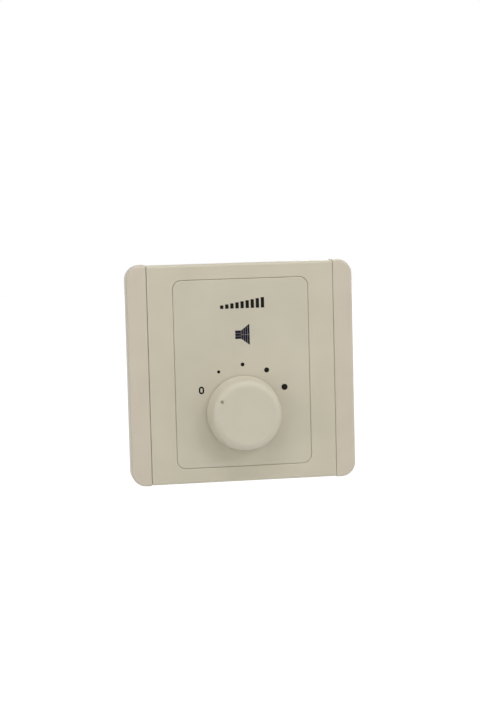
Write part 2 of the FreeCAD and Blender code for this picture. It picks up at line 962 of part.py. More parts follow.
def shaft_section(sketch, gap):
    """D section of the shaft's front end, with its flat on top."""
    radius = d.shaft_diameter / 2 + gap
    flat = d.shaft_diameter / 2 - d.shaft_flat + gap
    reach = root(radius * radius - flat * flat)
    outline(
        sketch,
        [
            (-reach, flat),
            (-radius, 0, radius),
            (0, -radius, radius),
            (radius, 0, radius),
            (reach, flat, radius),
        ],
    )


def root(size):
    return Size(math.sqrt(size.value), f"sqrt({size.text})")


def knob_clip():
    """Spring band round the knob's slit hub, open at one side."""
    body = new_body("knob_clip", up=-d.knob_drop)
    back = hub_back - d.hook_play
    front = back - d.clip_width + d.clip_thickness

    def ring(sketch):
        circle(sketch, hub_diameter + 2 * d.clip_thickness)
        circle(sketch, hub_diameter)

    add(body, front, back, ring)
    outer = hub_diameter / 2 + 2 * d.clip_thickness
    half = d.clip_slit / 2
    cut(body, front, back, lambda s: rectangle(s, -half, half, -outer, -hub_diameter / 4))
    return body


def switch_shaft():
    """Shaft with its D end, ring groove, collar, square drive and rear journal."""
    body = new_body("switch_shaft", up=-d.knob_drop)
    radius, chamfer = d.shaft_diameter / 2, d.end_chamfer
    journal_end = stator_back - d.shaft_end_gap
    groove_back = ring_front + d.ring_groove_width
    collar_front = flange_back + d.shaft_play

    def section(sketch):
        outline(
            sketch,
            [
                (shaft_front, 0),
                (shaft_front, radius - chamfer),
                (shaft_front + chamfer, radius),
                (ring_front, radius),
                (ring_front, ring_groove_diameter / 2),
                (groove_back, ring_groove_diameter / 2),
                (groove_back, radius),
                (collar_front, radius),
                (collar_front, d.shaft_collar / 2),
                (detent_front, d.shaft_collar / 2),
                (detent_front, d.journal_diameter / 2),
                (journal_end, d.journal_diameter / 2),
                (journal_end, 0),
            ],
        )

    turned(body, "Revolution", section)
    half = d.drive_square / 2
    add(body, detent_front, rotor_back, lambda s: rectangle(s, -half, half, -half, half))
    flat = radius - d.shaft_flat
    cut(
        body,
        shaft_front,
        hub_back,
        lambda s: rectangle(s, -2 * radius, 2 * radius, flat, 2 * radius),
    )
    return body


def retaining_ring():
    """Open ring in the shaft's groove, in front of the bushing."""
    body = new_body("retaining_ring", up=-d.knob_drop)
    front = ring_front + (d.ring_groove_width - d.ring_thickness) / 2
    bore = ring_groove_diameter + 2 * d.shaft_fit
    half = bore / 2 - 2 * d.shaft_fit

    def ring(sketch):
        circle(sketch, ring_diameter)
        circle(sketch, bore)

    add(body, front, front + d.ring_thickness, ring)
    cut(
        body,
        front,
        front + d.ring_thickness,
        lambda s: rectangle(s, -half, half, -ring_diameter, -ring_groove_diameter / 4),
    )
    return body


def rivet_spots():
    return [(rivet_across, -rivet_across), (-rivet_across, rivet_across)]


def rivet_holes(sketch, diameter):
    for across, up in rivet_spots():
        circle(sketch, diameter, across, up)


def switch_bushing():
    """Die-cast front of the switch: flange, threaded bushing and locating lug."""
    body = new_body("switch_bushing", up=-d.knob_drop)
    lug = locating_lug_across
    add(
        body,
        recess_face,
        flange_back,
        lambda s: centred_box(s, d.switch_width, d.switch_width, d.switch_corner),
    )
    add(body, bushing_front, recess_face, lambda s: circle(s, bushing_diameter))
    dressed(
        body,
        "Chamfer",
        d.end_chamfer,
        lambda box: near(box.YMin, bushing_front) and near(box.YMax, bushing_front),
    )
    lug_front = recess_face - d.locating_lug_height
    add(body, lug_front, recess_face, lambda s: circle(s, d.locating_lug, lug, lug))
    bore = d.shaft_diameter + 2 * d.shaft_fit
    cut(body, bushing_front, flange_back, lambda s: circle(s, bore))
    hole = d.rivet_diameter + 2 * d.shaft_fit
    cut(body, recess_face, flange_back, lambda s: rivet_holes(s, hole))
    sunk = recess_face + d.rivet_head_height + d.shaft_play
    cut(body, recess_face, sunk, lambda s: rivet_holes(s, d.rivet_head + 2 * d.shaft_fit))
    return body


def hexagon(sketch, flats, across=0, up=0):
    """Hexagon with a corner pointing up."""
    reach = flats / math.sqrt(3)
    corners = [(0, reach), (-flats / 2, reach / 2), (-flats / 2, -reach / 2), (0, -reach)]
    corners += [(flats / 2, -reach / 2), (flats / 2, reach / 2)]
    outline(sketch, [(across + x, up + z) for x, z in corners])


def switch_nut():
    body = new_body("switch_nut", up=-d.knob_drop)
    back = frame_front - d.washer_thickness

    def section(sketch):
        hexagon(sketch, nut_across_flats)
        circle(sketch, bushing_diameter + 2 * d.shaft_fit)

    def corners(sketch):
        flat, slope = nut_across_flats / 2, d.nut_chamfer_angle
        front = back - d.nut_height
        rise = flat * sine(slope) / cosine(slope)
        outline(sketch, [(front, flat), (front + rise, 2 * flat), (front, 2 * flat)])

    add(body, back - d.nut_height, back, section)
    turned(body, "Groove", corners)
    return body


def switch_washer():
    """Lock washer with teeth around its edge."""
    body = new_body("switch_washer", up=-d.knob_drop)
    front = frame_front - d.washer_thickness
    radius = washer_diameter / 2

    def ring(sketch):
        circle(sketch, washer_diameter)
        circle(sketch, bushing_diameter + 2 * d.bushing_hole_gap)

    add(body, front, frame_front, ring)
    depth, half = d.washer_notch_depth, d.washer_notch_width / 2
    notch = cut(
        body,
        front,
        frame_front,
        lambda s: rectangle(s, -half, half, radius - depth, radius + depth),
    )
    repeated(body, [notch], d.washer_teeth)
    return body


def polar(radius, angle):
    """Place at an angle clockwise from the top, seen from the front."""
    return radius * sine(angle), radius * cosine(angle)


def switch_housing():
    """Square moulding round the moving parts, with the stops and the detent spring's slot."""
    body = new_body("switch_housing", up=-d.knob_drop)
    back = housing_back
    add(
        body,
        flange_back,
        back,
        lambda s: centred_box(s, d.switch_width, d.switch_width, d.switch_corner),
    )
    cut(body, flange_back, back, lambda s: circle(s, housing_bore))
    edge = (
        d.step_angle * (d.positions - 1) / 2 + d.stop_lug_angle / 2 + d.stop_clearance_angle
    )
    inner, outer = stop_inner_radius, housing_bore / 2 + d.stop_bite

    def stops(sketch):
        right, top = polar(outer, edge)
        near_right, near_top = polar(inner, edge)
        outline(
            sketch,
            [
                (right, top),
                (0, -outer, -outer),
                (-right, top, -outer),
                (-near_right, near_top),
                (0, -inner, inner),
                (near_right, near_top, inner),
            ],
        )

    add(body, stop_front, stop_back, stops)
    reach, gap = d.spring_length / 2 + d.spring_slot_gap, d.spring_slot_gap
    low, high = spring_radius - gap, spring_radius + d.spring_thickness + gap
    cut(
        body,
        flange_back,
        detent_back + gap,
        lambda s: rectangle(s, -reach, reach, low, high),
    )
    hole = d.rivet_diameter + 2 * d.shaft_fit
    cut(body, flange_back, back, lambda s: rivet_holes(s, hole))
    return body


def square_hole(sketch):
    half = d.drive_square / 2 + d.shaft_fit
    rectangle(sketch, -half, half, -half, half)


def detent_wheel():
    """Star wheel with a notch for every step, and the lug that meets the stops."""
    body = new_body("detent_wheel", up=-d.knob_drop)
    add(body, detent_front, detent_back, lambda s: circle(s, detent_diameter))
    notch = cut(
        body,
        detent_front,
        detent_back,
        lambda s: circle(s, 2 * d.notch_radius, 0, notch_centre),
    )
    repeated(body, [notch], d.notch_count)
    hub = notch_centre - d.notch_radius - d.layer_gap
    add(body, detent_back, stop_back, lambda s: circle(s, 2 * hub))
    low, high = -d.off_angle - d.stop_lug_angle / 2, -d.off_angle + d.stop_lug_angle / 2
    foot = hub - d.stop_thickness

    def lug(sketch):
        outline(
            sketch,
            [
                polar(foot, low),
                polar(stop_reach, low),
                (*polar(stop_reach, high), -stop_reach),
                polar(foot, high),
            ],
        )

    add(body, stop_front, stop_back, lug)
    cut(body, detent_front, stop_back, square_hole)
    return body


def detent_spring():
    """Flat spring across the housing, with a formed tip that drops into the wheel's notches."""
    body = new_body("detent_spring", up=-d.knob_drop)
    reach, flat, tip = d.spring_length / 2, spring_radius, spring_tip_radius
    sheet, leg = d.spring_thickness, (spring_radius - spring_tip_radius)
    middle = (detent_front + detent_back) / 2
    half_tip = d.spring_tip_width / 2

    def section(sketch):
        outline(
            sketch,
            [
                (-reach, flat),
                (-leg - half_tip, flat),
                (-half_tip, tip),
                (half_tip, tip),
                (leg + half_tip, flat),
                (reach, flat),
                (reach, flat + sheet),
                (leg + sheet, flat + sheet),
                (sheet, tip + sheet),
                (-sheet, tip + sheet),
                (-leg - sheet, flat + sheet),
                (-reach, flat + sheet),
            ],
        )

    add(body, middle - d.spring_width / 2, middle + d.spring_width / 2, section)
    return body


def switch_rotor():
    body = new_body("switch_rotor", up=-d.knob_drop)
    add(body, stop_back, rotor_back, lambda s: circle(s, rotor_diameter))
    cut(body, stop_back, rotor_back, square_hole)
    return body


def wiper_contact():
    """Spring plate on the rotor: one finger for the step contacts, one point on the common ring."""
    body = new_body("wiper_contact", up=-d.knob_drop)
    back = rotor_back + d.wiper_thickness
    dome_back = contact_front - d.contact_gap
    track = (d.common_inner + d.common_outer) / 2

    def finger(sketch):
        start, end = d.wiper_inner + d.wiper_thickness, contact_radius + d.contact_diameter / 2
        half = d.wiper_finger_width / 2
        toward = polar(as_size(1), -d.off_angle)
        aside = polar(as_size(1), 90 - d.off_angle)
        corners = [(start, -half), (end, -half), (end, half), (start, half)]
        outline(
            sketch,
            [
                tuple(along * toward[axis] + beside * aside[axis] for axis in (0, 1))
                for along, beside in corners
            ],
        )

    def ring(sketch):
        circle(sketch, 2 * d.wiper_outer)
        circle(sketch, 2 * d.wiper_inner)

    def domes(sketch):
        circle(sketch, d.wiper_dome, *polar(contact_radius, -d.off_angle))
        circle(sketch, d.wiper_dome, *polar(track, 180 - d.off_angle))

    add(body, rotor_back, back, ring)
    add(body, rotor_back, back, finger)
    add(body, back, dome_back, domes)
    return body


def contact_spots():
    """Centres of the step contacts, from OFF clockwise to full volume."""
    return [
        polar(contact_radius, -d.off_angle + step * d.step_angle)
        for step in range(int(d.positions.value))
    ]


def common_spot():
    return as_size(0), -(d.common_inner + d.common_outer) / 2


def switch_stator():
    """Insulating plate that closes the housing and carries the fixed contacts."""
    body = new_body("switch_stator", up=-d.knob_drop)

    def holes(sketch):
        circle(sketch, d.journal_diameter + 2 * d.shaft_fit)
        for across, up in contact_spots() + [common_spot()]:
            circle(sketch, d.pin_diameter + 2 * d.shaft_fit, across, up)
        rivet_holes(sketch, d.rivet_diameter + 2 * d.shaft_fit)

    add(
        body,
        housing_back,
        stator_back,
        lambda s: centred_box(s, d.switch_width, d.switch_width, d.switch_corner),
    )
    cut(body, housing_back, stator_back, holes)
    return body


def switch_contacts():
    """Step contacts and the common ring, each with the pin that goes through the board."""
    body = new_body("switch_contacts", up=-d.knob_drop)

    def faces(sketch):
        for across, up in contact_spots():
            circle(sketch, d.contact_diameter, across, up)
        circle(sketch, 2 * d.common_outer)
        circle(sketch, 2 * d.common_inner)

    def pins(sketch):
        for across, up in contact_spots() + [common_spot()]:
            circle(sketch, d.pin_diameter, across, up)

    add(body, contact_front, housing_back, faces)
    add(body, housing_back, pin_end, pins)
    return body


def switch_rivets():
    body = new_body("switch_rivets", up=-d.knob_drop)
    front = recess_face + d.shaft_play
    head = d.rivet_head_height
    add(body, front, front + head, lambda s: rivet_holes(s, d.rivet_head))
    add(body, front + head, stator_back, lambda s: rivet_holes(s, d.rivet_diameter))
    add(body, stator_back, stator_back + head, lambda s: rivet_holes(s, d.rivet_head))
    return body


def coil_pin_spots():
    """Pins of the coil former, counted from the transformer's centre."""
    row = coil_reach - d.bobbin_bar / 2
    return [
        (side * across, end * row)
        for end in (-1, 1)
        for side in (-1, 1)
        for across in (d.coil_pin_inner, d.coil_pin_outer)
    ]


strip_foot = d.chamber_start - d.strip_contact_thickness - d.strip_contact_play


def pole_places():
    """Middle of each pole, from left to right as seen from the front."""
    count = int(d.pole_count.value)
    return [(number - (count - 1) / 2) * d.pole_pitch for number in range(count)]


def circuit_board():
    body = new_body("circuit_board")

    def holes(sketch):
        for across, up in all_corners(post_across, post_up):
            circle(sketch, d.board_screw_hole, across, up)
        for across, up in contact_spots() + [common_spot()]:
            circle(sketch, d.pin_hole, across, up - d.knob_drop)
        for across, up in coil_pin_spots():
            circle(sketch, d.pin_hole, across, up + transformer_rise)
        for side in (-1, 1):
            circle(sketch, d.clamp_screw_hole, side * clamp_hole_across, transformer_rise)
        foot = block_bottom + strip_foot + d.strip_contact_thickness / 2
        for across in pole_places():
            circle(sketch, d.strip_pin_hole, across, foot)

    add(
        body,
        board_front,
        board_back,
        lambda s: centred_box(s, d.board_width, d.board_height, d.board_radius),
    )
    cut(body, board_front, board_back, holes)
    return body


def board_screws():
    """Four screws that hold the board on the frame's posts."""
    body = new_body("board_screws")

    def four(sketch, diameter):
        for across, up in all_corners(post_across, post_up):
            circle(sketch, diameter, across, up)

    head = board_back + d.board_screw_head_height
    add(body, board_back, head, lambda s: four(s, d.board_screw_head))
    tip = board_back - d.board_screw_length
    add(body, tip, board_back, lambda s: four(s, d.board_screw_shank))
    return body


def on_board(label):
    """A body of the transformer, drawn from the board's rear face and the coil's axis."""
    return new_body(label, depth=board_back, up=transformer_rise)


def transformer_core():
    """Laminated core with its two windows."""
    body = on_board("transformer_core")
    across, leg = d.core_width / 2, d.core_leg / 2
    edge = across - leg

    def laminations(sketch):
        rectangle(sketch, -across, across, 0, d.core_height)
        for side in (-1, 1):
            rectangle(sketch, side * leg, side * edge, leg, d.core_height - leg)

    add(body, -d.core_stack / 2, d.core_stack / 2, laminations, "XY_Plane")
    return body


def transformer_bobbin():
    body = on_board("transformer_bobbin")
    leg, gap = d.core_leg / 2, d.coil_gap
    low, high = leg + gap, d.core_height - leg - gap
    width = d.core_width - d.core_leg - 2 * gap
    depth = 2 * coil_reach
    bore_width, bore_depth = d.core_leg + 2 * gap, d.core_stack + 2 * gap
    wall = 2 * d.bobbin_wall
    corner = d.bobbin_wall
    add(body, low, high, lambda s: centred_box(s, bore_width + wall, bore_depth + wall, corner))
    for edge in (low, high - d.bobbin_flange):
        add(
            body,
            edge,
            edge + d.bobbin_flange,
            lambda s: centred_box(s, width, depth, corner),
        )

    def bore(sketch):
        across, up = bore_width / 2, bore_depth / 2
        rectangle(sketch, -across, across, -up, up)

    def bars(sketch):
        for end in (-1, 1):
            inner = end * (depth / 2 - d.bobbin_bar)
            rectangle(sketch, -width / 2, width / 2, inner, end * depth / 2)

    def pin_holes(sketch):
        for across, up in coil_pin_spots():
            circle(sketch, d.pin_diameter + 2 * d.shaft_fit, across, up)

    cut(body, low, high, bore)
    add(body, d.bobbin_standoff, low, bars)
    cut(body, d.bobbin_standoff, d.bobbin_standoff + d.coil_pin_depth, pin_holes)
    return body


def transformer_winding():
    """Taped coil between the former's flanges."""
    body = on_board("transformer_winding")
    leg, gap, wall = d.core_leg / 2, d.coil_gap, 2 * d.bobbin_wall
    low = leg + gap + d.bobbin_flange
    high = d.core_height - leg - gap - d.bobbin_flange
    width = d.core_width - d.core_leg - 2 * gap - 2 * d.winding_inset
    depth = 2 * coil_reach - 2 * d.winding_inset
    inner_width, inner_depth = d.core_leg + 2 * gap + wall, d.core_stack + 2 * gap + wall

    def section(sketch):
        centred_box(sketch, width, depth, d.winding_rounding)
        centred_box(sketch, inner_width, inner_depth, d.bobbin_wall)

    add(body, low, high, section)
    return body


def transformer_pins():
    body = on_board("transformer_pins")

    def pins(sketch):
        for across, up in coil_pin_spots():
            circle(sketch, d.pin_diameter, across, up)

    tip = -d.board_thickness - d.pin_reach
    add(body, tip, d.bobbin_standoff + d.coil_pin_depth, pins)
    return body


def transformer_clamp():
    """Sheet-steel frame over the core, with two feet on the board."""
    body = on_board("transformer_clamp")
    inner, top, sheet = d.core_width / 2, d.core_height, d.clamp_thickness
    outer, foot, half = inner + sheet, clamp_foot, d.clamp_width / 2

    def section(sketch):
        outline(
            sketch,
            [
                (-foot, 0),
                (-inner, 0),
                (-inner, top),
                (inner, top),
                (inner, 0),
                (foot, 0),
                (foot, sheet),
                (outer, sheet),
                (outer, top + sheet),
                (-outer, top + sheet),
                (-outer, sheet),
                (-foot, sheet),
            ],
        )

    add(body, -half, half, section, "XY_Plane")
    dressed(
        body,
        "Fillet",
        d.clamp_bend,
        lambda box: near(box.ZLength, d.clamp_width) and near(abs(box.Center.x), outer),
    )

    def holes(sketch):
        for side in (-1, 1):
            circle(sketch, d.clamp_screw_hole, side * clamp_hole_across)

    cut(body, 0, sheet, holes)
    return body


def clamp_screws():
    body = on_board("clamp_screws")
    sheet = d.clamp_thickness

    def pair(sketch, diameter):
        for side in (-1, 1):
            circle(sketch, diameter, side * clamp_hole_across)

    add(body, sheet, sheet + d.clamp_screw_head_height, lambda s: pair(s, d.clamp_screw_head))
    tip = -d.board_thickness - d.clamp_nut_height - d.clamp_thickness
    add(body, tip, sheet, lambda s: pair(s, d.clamp_screw))
    return body


def clamp_nuts():
    body = on_board("clamp_nuts")

    def pair(sketch):
        for side in (-1, 1):
            hexagon(sketch, d.clamp_nut_flats, side * clamp_hole_across)
            circle(sketch, d.clamp_screw + 2 * d.shaft_fit, side * clamp_hole_across)

    top = -d.board_thickness
    add(body, top - d.clamp_nut_height, top, pair)
    return body


# levels inside the terminal block, counted from the board's rear face
cage_bottom = d.chamber_floor + d.cage_play
cage_top = cage_bottom + d.cage_height
strip_top = cage_top - d.cage_roof - d.strip_contact_play
strip_bottom = strip_top - d.strip_contact_thickness
chamber_top = cage_top + d.cage_travel + d.cage_play
ledge_top = chamber_top + d.block_ledge
head_bottom = ledge_top + d.shaft_fit
chamber_middle = d.chamber_start + d.chamber_depth / 2


def terminal_block():
    """Screw terminal housing: a chamber, a wire entry and a screw well for each pole."""
    body = new_body("terminal_block", depth=board_back, up=block_bottom)
    across = d.pole_pitch * d.pole_count / 2
    add(
        body,
        0,
        d.block_height,
        lambda s: rectangle(s, -across, across, 0, d.block_depth),
    )
    dressed(
        body,
        "Chamfer",
        d.block_chamfer,
        lambda box: near(box.YMin, d.block_height) and near(box.ZMin, d.block_depth),
    )

    def each(sketch, draw):
        for place in pole_places():
            draw(sketch, place)

    def chamber(sketch, place):
        half = d.chamber_width / 2
        rectangle(
            sketch, place - half, place + half, d.chamber_start, d.chamber_start + d.chamber_depth
        )

    def strip_way(sketch, place):
        half = d.strip_contact_width / 2 + d.strip_contact_play
        low = strip_foot - d.strip_contact_play
        rectangle(sketch, place - half, place + half, low, d.chamber_start)

    def entry(sketch, place):
        half = d.entry_width / 2
        low = cage_bottom + d.cage_floor
        rectangle(sketch, place - half, place + half, low, low + d.entry_height)

    cut(body, d.chamber_floor, chamber_top, lambda s: each(s, chamber))
    cut(body, 0, strip_top + d.strip_contact_play, lambda s: each(s, strip_way))
    cut(
        body,
        d.chamber_start + d.chamber_depth,
        d.block_depth,
        lambda s: each(s, entry),
        "XY_Plane",
    )
    dressed(
        body,
        "Chamfer",
        d.entry_chamfer,
        lambda box: near(box.ZMin, d.block_depth)
        and near(box.ZMax, d.block_depth)
        and box.XLength < d.chamber_width.value
        and box.YLength < d.chamber_width.value,
    )
    for low, high, diameter in (
        (chamber_top, ledge_top, d.screw_diameter + 2 * d.cage_play),
        (ledge_top, d.block_height, d.screw_head_bore),
    ):
        cut(
            body,
            low,
            high,
            lambda s: each(s, lambda t, place: circle(t, diameter, place, chamber_middle)),
        )
    return body


def terminal_contacts():
    """A bent strip for each pole, with its pin through the board."""
    body = new_body("terminal_contacts", depth=board_back, up=block_bottom)
    sheet = d.strip_contact_thickness
    end = d.chamber_start + d.chamber_depth - d.strip_contact_play
    for place in pole_places():
        half = d.strip_contact_width / 2

        def bent(sketch):
            outline(
                sketch,
                [
                    (0, strip_foot),
                    (strip_top, strip_foot),
                    (strip_top, end),
                    (strip_bottom, end),
                    (strip_bottom, strip_foot + sheet),
                    (0, strip_foot + sheet),
                ],
            )

        add(body, place - half, place + half, bent, "YZ_Plane")

    def pins(sketch):
        for place in pole_places():
            half = d.pin_diameter / 2
            rectangle(sketch, place - half, place + half, strip_foot, strip_foot + sheet)

    add(body, -d.board_thickness - d.pin_reach, 0, pins)
    return body


def terminal_screw(number, place):
    body = new_body(
        f"terminal_screw_{number}", place, board_back, block_bottom + chamber_middle
    )
    head_top = head_bottom + d.screw_head_height
    tip = strip_top + d.strip_contact_play / 2
    add(body, tip, head_bottom, lambda s: circle(s, d.screw_diameter))
    add(body, head_bottom, head_top, lambda s: circle(s, d.screw_head))
    half = d.screw_driver_slot / 2
    cut(
        body,
        head_top - d.screw_driver_depth,
        head_top,
        lambda s: rectangle(s, -d.screw_head, d.screw_head, -half, half),
    )
    return body


def terminal_cage(number, place):
    """Rising cage that the screw draws up to press the wire against the strip."""
    body = new_body(
        f"terminal_cage_{number}", place, board_back, block_bottom + chamber_middle
    )
    outer, inner = d.cage_width / 2, d.cage_width / 2 - d.cage_side
    reach = d.chamber_depth / 2 - d.cage_play

    def section(sketch):
        rectangle(sketch, -outer, outer, cage_bottom, cage_top)
        rectangle(sketch, -inner, inner, cage_bottom + d.cage_floor, cage_top - d.cage_roof)

    add(body, -reach, reach, section, "XY_Plane")
    bore = d.screw_diameter + 2 * d.screw_thread_gap
    cut(body, cage_top - d.cage_roof, cage_top, lambda s: circle(s, bore))
    return body


def build():
    parts = [
        mounting_frame(),
        front_cover(),
        trim_strip("right_trim_strip", False),
        trim_strip("left_trim_strip", True),
        insert_panel(),
        knob(),
        knob_clip(),
        switch_shaft(),
        retaining_ring(),
        switch_bushing(),
        switch_nut(),
        switch_washer(),
        switch_housing(),
        detent_wheel(),
        detent_spring(),
        switch_rotor(),
        wiper_contact(),
        switch_stator(),
        switch_contacts(),
        switch_rivets(),
        circuit_board(),
        board_screws(),
        transformer_core(),
        transformer_bobbin(),
        transformer_winding(),
        transformer_pins(),
        transformer_clamp(),
        clamp_screws(),
        clamp_nuts(),
        terminal_block(),
        terminal_contacts(),
    ]
    for number, place in enumerate(pole_places(), 1):
        parts.append(terminal_screw(number, place))
        parts.append(terminal_cage(number, place))
    return parts


def check(parts):
    """Stops if any object failed, a cut took nothing away or a sub-part's shape is bad."""
    document.recompute()
    for item in document.Objects:
        if "Invalid" in item.State or "Error" in item.State:
            raise RuntimeError(f"{item.Label} failed: {item.State}")
        if item.TypeId in ("PartDesign::Pocket", "PartDesign::Groove"):
            before = item.BaseFeature.Shape.Volume
            if item.Shape.Volume > before - 0.0001:
                raise RuntimeError(f"{item.Label} cuts nothing")
    for part in parts:
        if part.Shape.isNull() or not part.Shape.isValid():
            raise RuntimeError(f"{part.Label} has a bad shape")


def export(parts):
    os.makedirs("parts", exist_ok=True)
    for part in parts:
        part.Shape.exportStep(f"parts/{part.Label}.step")
        print(part.Label, round(part.Shape.Volume, 1), "mm3", len(part.Shape.Solids), "solids")


sub_parts = build()
check(sub_parts)
export(sub_parts)
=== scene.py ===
import math
import random

import bmesh
import bpy
from mathutils import Matrix, Vector


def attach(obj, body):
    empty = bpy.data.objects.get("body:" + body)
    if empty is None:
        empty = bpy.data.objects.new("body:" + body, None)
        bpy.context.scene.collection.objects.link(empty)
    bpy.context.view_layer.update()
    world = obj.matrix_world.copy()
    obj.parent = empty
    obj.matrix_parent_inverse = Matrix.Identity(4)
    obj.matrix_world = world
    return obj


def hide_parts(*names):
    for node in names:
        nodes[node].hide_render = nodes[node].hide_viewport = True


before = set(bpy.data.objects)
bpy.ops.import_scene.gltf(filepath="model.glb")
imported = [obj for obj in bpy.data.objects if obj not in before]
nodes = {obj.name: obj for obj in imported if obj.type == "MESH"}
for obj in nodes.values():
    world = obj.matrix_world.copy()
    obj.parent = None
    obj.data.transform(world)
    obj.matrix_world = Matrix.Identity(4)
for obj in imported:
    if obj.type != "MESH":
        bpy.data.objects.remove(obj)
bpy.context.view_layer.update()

scene = bpy.context.scene
mm = 0.001
random.seed(7)


cameraSetting = {
    "lens": 87.5,
    "sensor": 36,
    "clip": (0.01, 50),  # metres
    "azimuth": 9.28,  # camera to the left of straight on
    "elevation": 5.31,
    "roll": -1.49,
    "distance": 690.1,
    "target": (-0.92, -8.0, 5.07),
}


def addCamera(setting):
    turn, rise, roll = (math.radians(setting[k]) for k in ("azimuth", "elevation", "roll"))
    forward = Vector(
        (math.sin(turn) * math.cos(rise), math.cos(turn) * math.cos(rise), -math.sin(rise))
    )
    right = Vector((math.cos(turn), -math.sin(turn), 0))
    up = right.cross(forward)
    tilted = math.cos(roll) * right + math.sin(roll) * up
    upright = math.cos(roll) * up - math.sin(roll) * right
    data = bpy.data.cameras.new("camera")
    data.lens = setting["lens"]
    data.sensor_width = setting["sensor"]
    data.clip_start, data.clip_end = setting["clip"]
    camera = bpy.data.objects.new("camera", data)
    scene.collection.objects.link(camera)
    place = (Vector(setting["target"]) - forward * setting["distance"]) * mm
    columns = Matrix((tilted, upright, -forward)).transposed().to_4x4()
    camera.matrix_world = Matrix.Translation(place) @ columns
    scene.camera = camera


addCamera(cameraSetting)
print("camera placed")


def newMaterial(name):
    material = bpy.data.materials.new(name)
    material.use_nodes = True
    tree = material.node_tree
    shader = tree.nodes["Principled BSDF"]
    return material, tree, shader


def addNode(tree, kind, settings=None, inputs=None):
    node = tree.nodes.new(kind)
    for key, value in (settings or {}).items():
        setattr(node, key, value)
    for key, value in (inputs or {}).items():
        node.inputs[key].default_value = value
    return node


def noiseOn(tree, scale, detail, stretch=(1, 1, 1)):
    # noise in the object's own metres, so that the grain keeps its real size
    place = addNode(tree, "ShaderNodeTexCoord")
    spread = addNode(tree, "ShaderNodeMapping", inputs={"Scale": stretch})
    noise = addNode(tree, "ShaderNodeTexNoise", inputs={"Scale": scale, "Detail": detail})
    tree.links.new(place.outputs["Object"], spread.inputs["Vector"])
    tree.links.new(spread.outputs["Vector"], noise.inputs["Vector"])
    return noise.outputs["Fac"]


def wavesOn(tree, direction, scale, distortion):
    place = addNode(tree, "ShaderNodeTexCoord")
    waves = addNode(tree, "ShaderNodeTexWave", {"bands_direction": direction},
                    {"Scale": scale, "Distortion": distortion})
    tree.links.new(place.outputs["Object"], waves.inputs["Vector"])
    return waves.outputs["Fac"]


def blendColours(tree, shader, low, high, source, start=0.35, end=0.65):
    ramp = addNode(tree, "ShaderNodeValToRGB")
    for stop, place, colour in zip(ramp.color_ramp.elements, (start, end), (low, high)):
        stop.position = place
        stop.color = (*colour, 1)
    tree.links.new(source, ramp.inputs["Fac"])
    tree.links.new(ramp.outputs["Color"], shader.inputs["Base Color"])


def varyRoughness(tree, shader, source, low, high):
    spread = addNode(
        tree,
        "ShaderNodeMapRange",
        inputs={"From Min": 0.3, "From Max": 0.7, "To Min": low, "To Max": high},
    )
    tree.links.new(source, spread.inputs["Value"])
    tree.links.new(spread.outputs["Result"], shader.inputs["Roughness"])


def addBump(tree, shader, source, depth, strength, below=None):
    # depth in metres; below is a bump that this one lies on
    bump = addNode(tree, "ShaderNodeBump", inputs={"Strength": strength, "Distance": depth})
    tree.links.new(source, bump.inputs["Height"])
    if below is not None:
        tree.links.new(below.outputs["Normal"], bump.inputs["Normal"])
    tree.links.new(bump.outputs["Normal"], shader.inputs["Normal"])
    return bump


def linear(red, green, blue):
    # colours are written as they look on the screen, from 0 to 255
    def one(value):
        share = value / 255
        return share / 12.92 if share <= 0.04045 else ((share + 0.055) / 1.055) ** 2.4

    return one(red), one(green), one(blue)


def shifted(colour, factor):
    return tuple(min(1.0, c * factor) for c in colour)


def mouldedPlastic(name, colour, roughness, grain=5200, sink=0.0004, gloss=0.5, mottle=0.035):
    # fine grain on broad, shallow hollows (sink, in metres) and slightly uneven colour
    material, tree, shader = newMaterial(name)
    cloudy = noiseOn(tree, scale=55, detail=2)
    fine = noiseOn(tree, grain, detail=4)
    hollows = noiseOn(tree, scale=90, detail=1)
    blendColours(tree, shader, shifted(colour, 1 - mottle), shifted(colour, 1 + mottle), cloudy,
                 start=0.3, end=0.7)
    varyRoughness(tree, shader, fine, low=roughness - 0.05, high=roughness + 0.07)
    swell = addBump(tree, shader, hollows, depth=sink, strength=0.25)
    addBump(tree, shader, fine, depth=0.000012, strength=0.6, below=swell)
    shader.inputs["Specular IOR Level"].default_value = gloss
    return material


def plainMetal(name, colour, roughness, grain=2600, stretch=(1, 1, 1), depth=0.000006):
    material, tree, shader = newMaterial(name)
    cloudy = noiseOn(tree, scale=160, detail=3)
    fine = noiseOn(tree, grain, 4, stretch)
    blendColours(tree, shader, shifted(colour, 0.86), shifted(colour, 1.08), cloudy)
    varyRoughness(tree, shader, fine, low=roughness - 0.08, high=roughness + 0.12)
    addBump(tree, shader, fine, depth, strength=0.7)
    shader.inputs["Metallic"].default_value = 1.0
    return material


def boardFinish(name):
    # green solder mask with the weave of the glass cloth showing faintly
    material, tree, shader = newMaterial(name)
    cloth = addNode(tree, "ShaderNodeMath", {"operation": "MULTIPLY"})
    for socket, direction in enumerate("XZ"):
        threads = wavesOn(tree, direction, scale=420, distortion=0.6)
        tree.links.new(threads, cloth.inputs[socket])
    weave = cloth.outputs["Value"]
    blendColours(tree, shader, linear(20, 84, 50), linear(28, 98, 60), weave, start=0.0, end=1.0)
    varyRoughness(tree, shader, noiseOn(tree, scale=300, detail=2), low=0.22, high=0.34)
    addBump(tree, shader, weave, depth=0.00001, strength=0.4)
    shader.inputs["Specular IOR Level"].default_value = 0.3
    return material


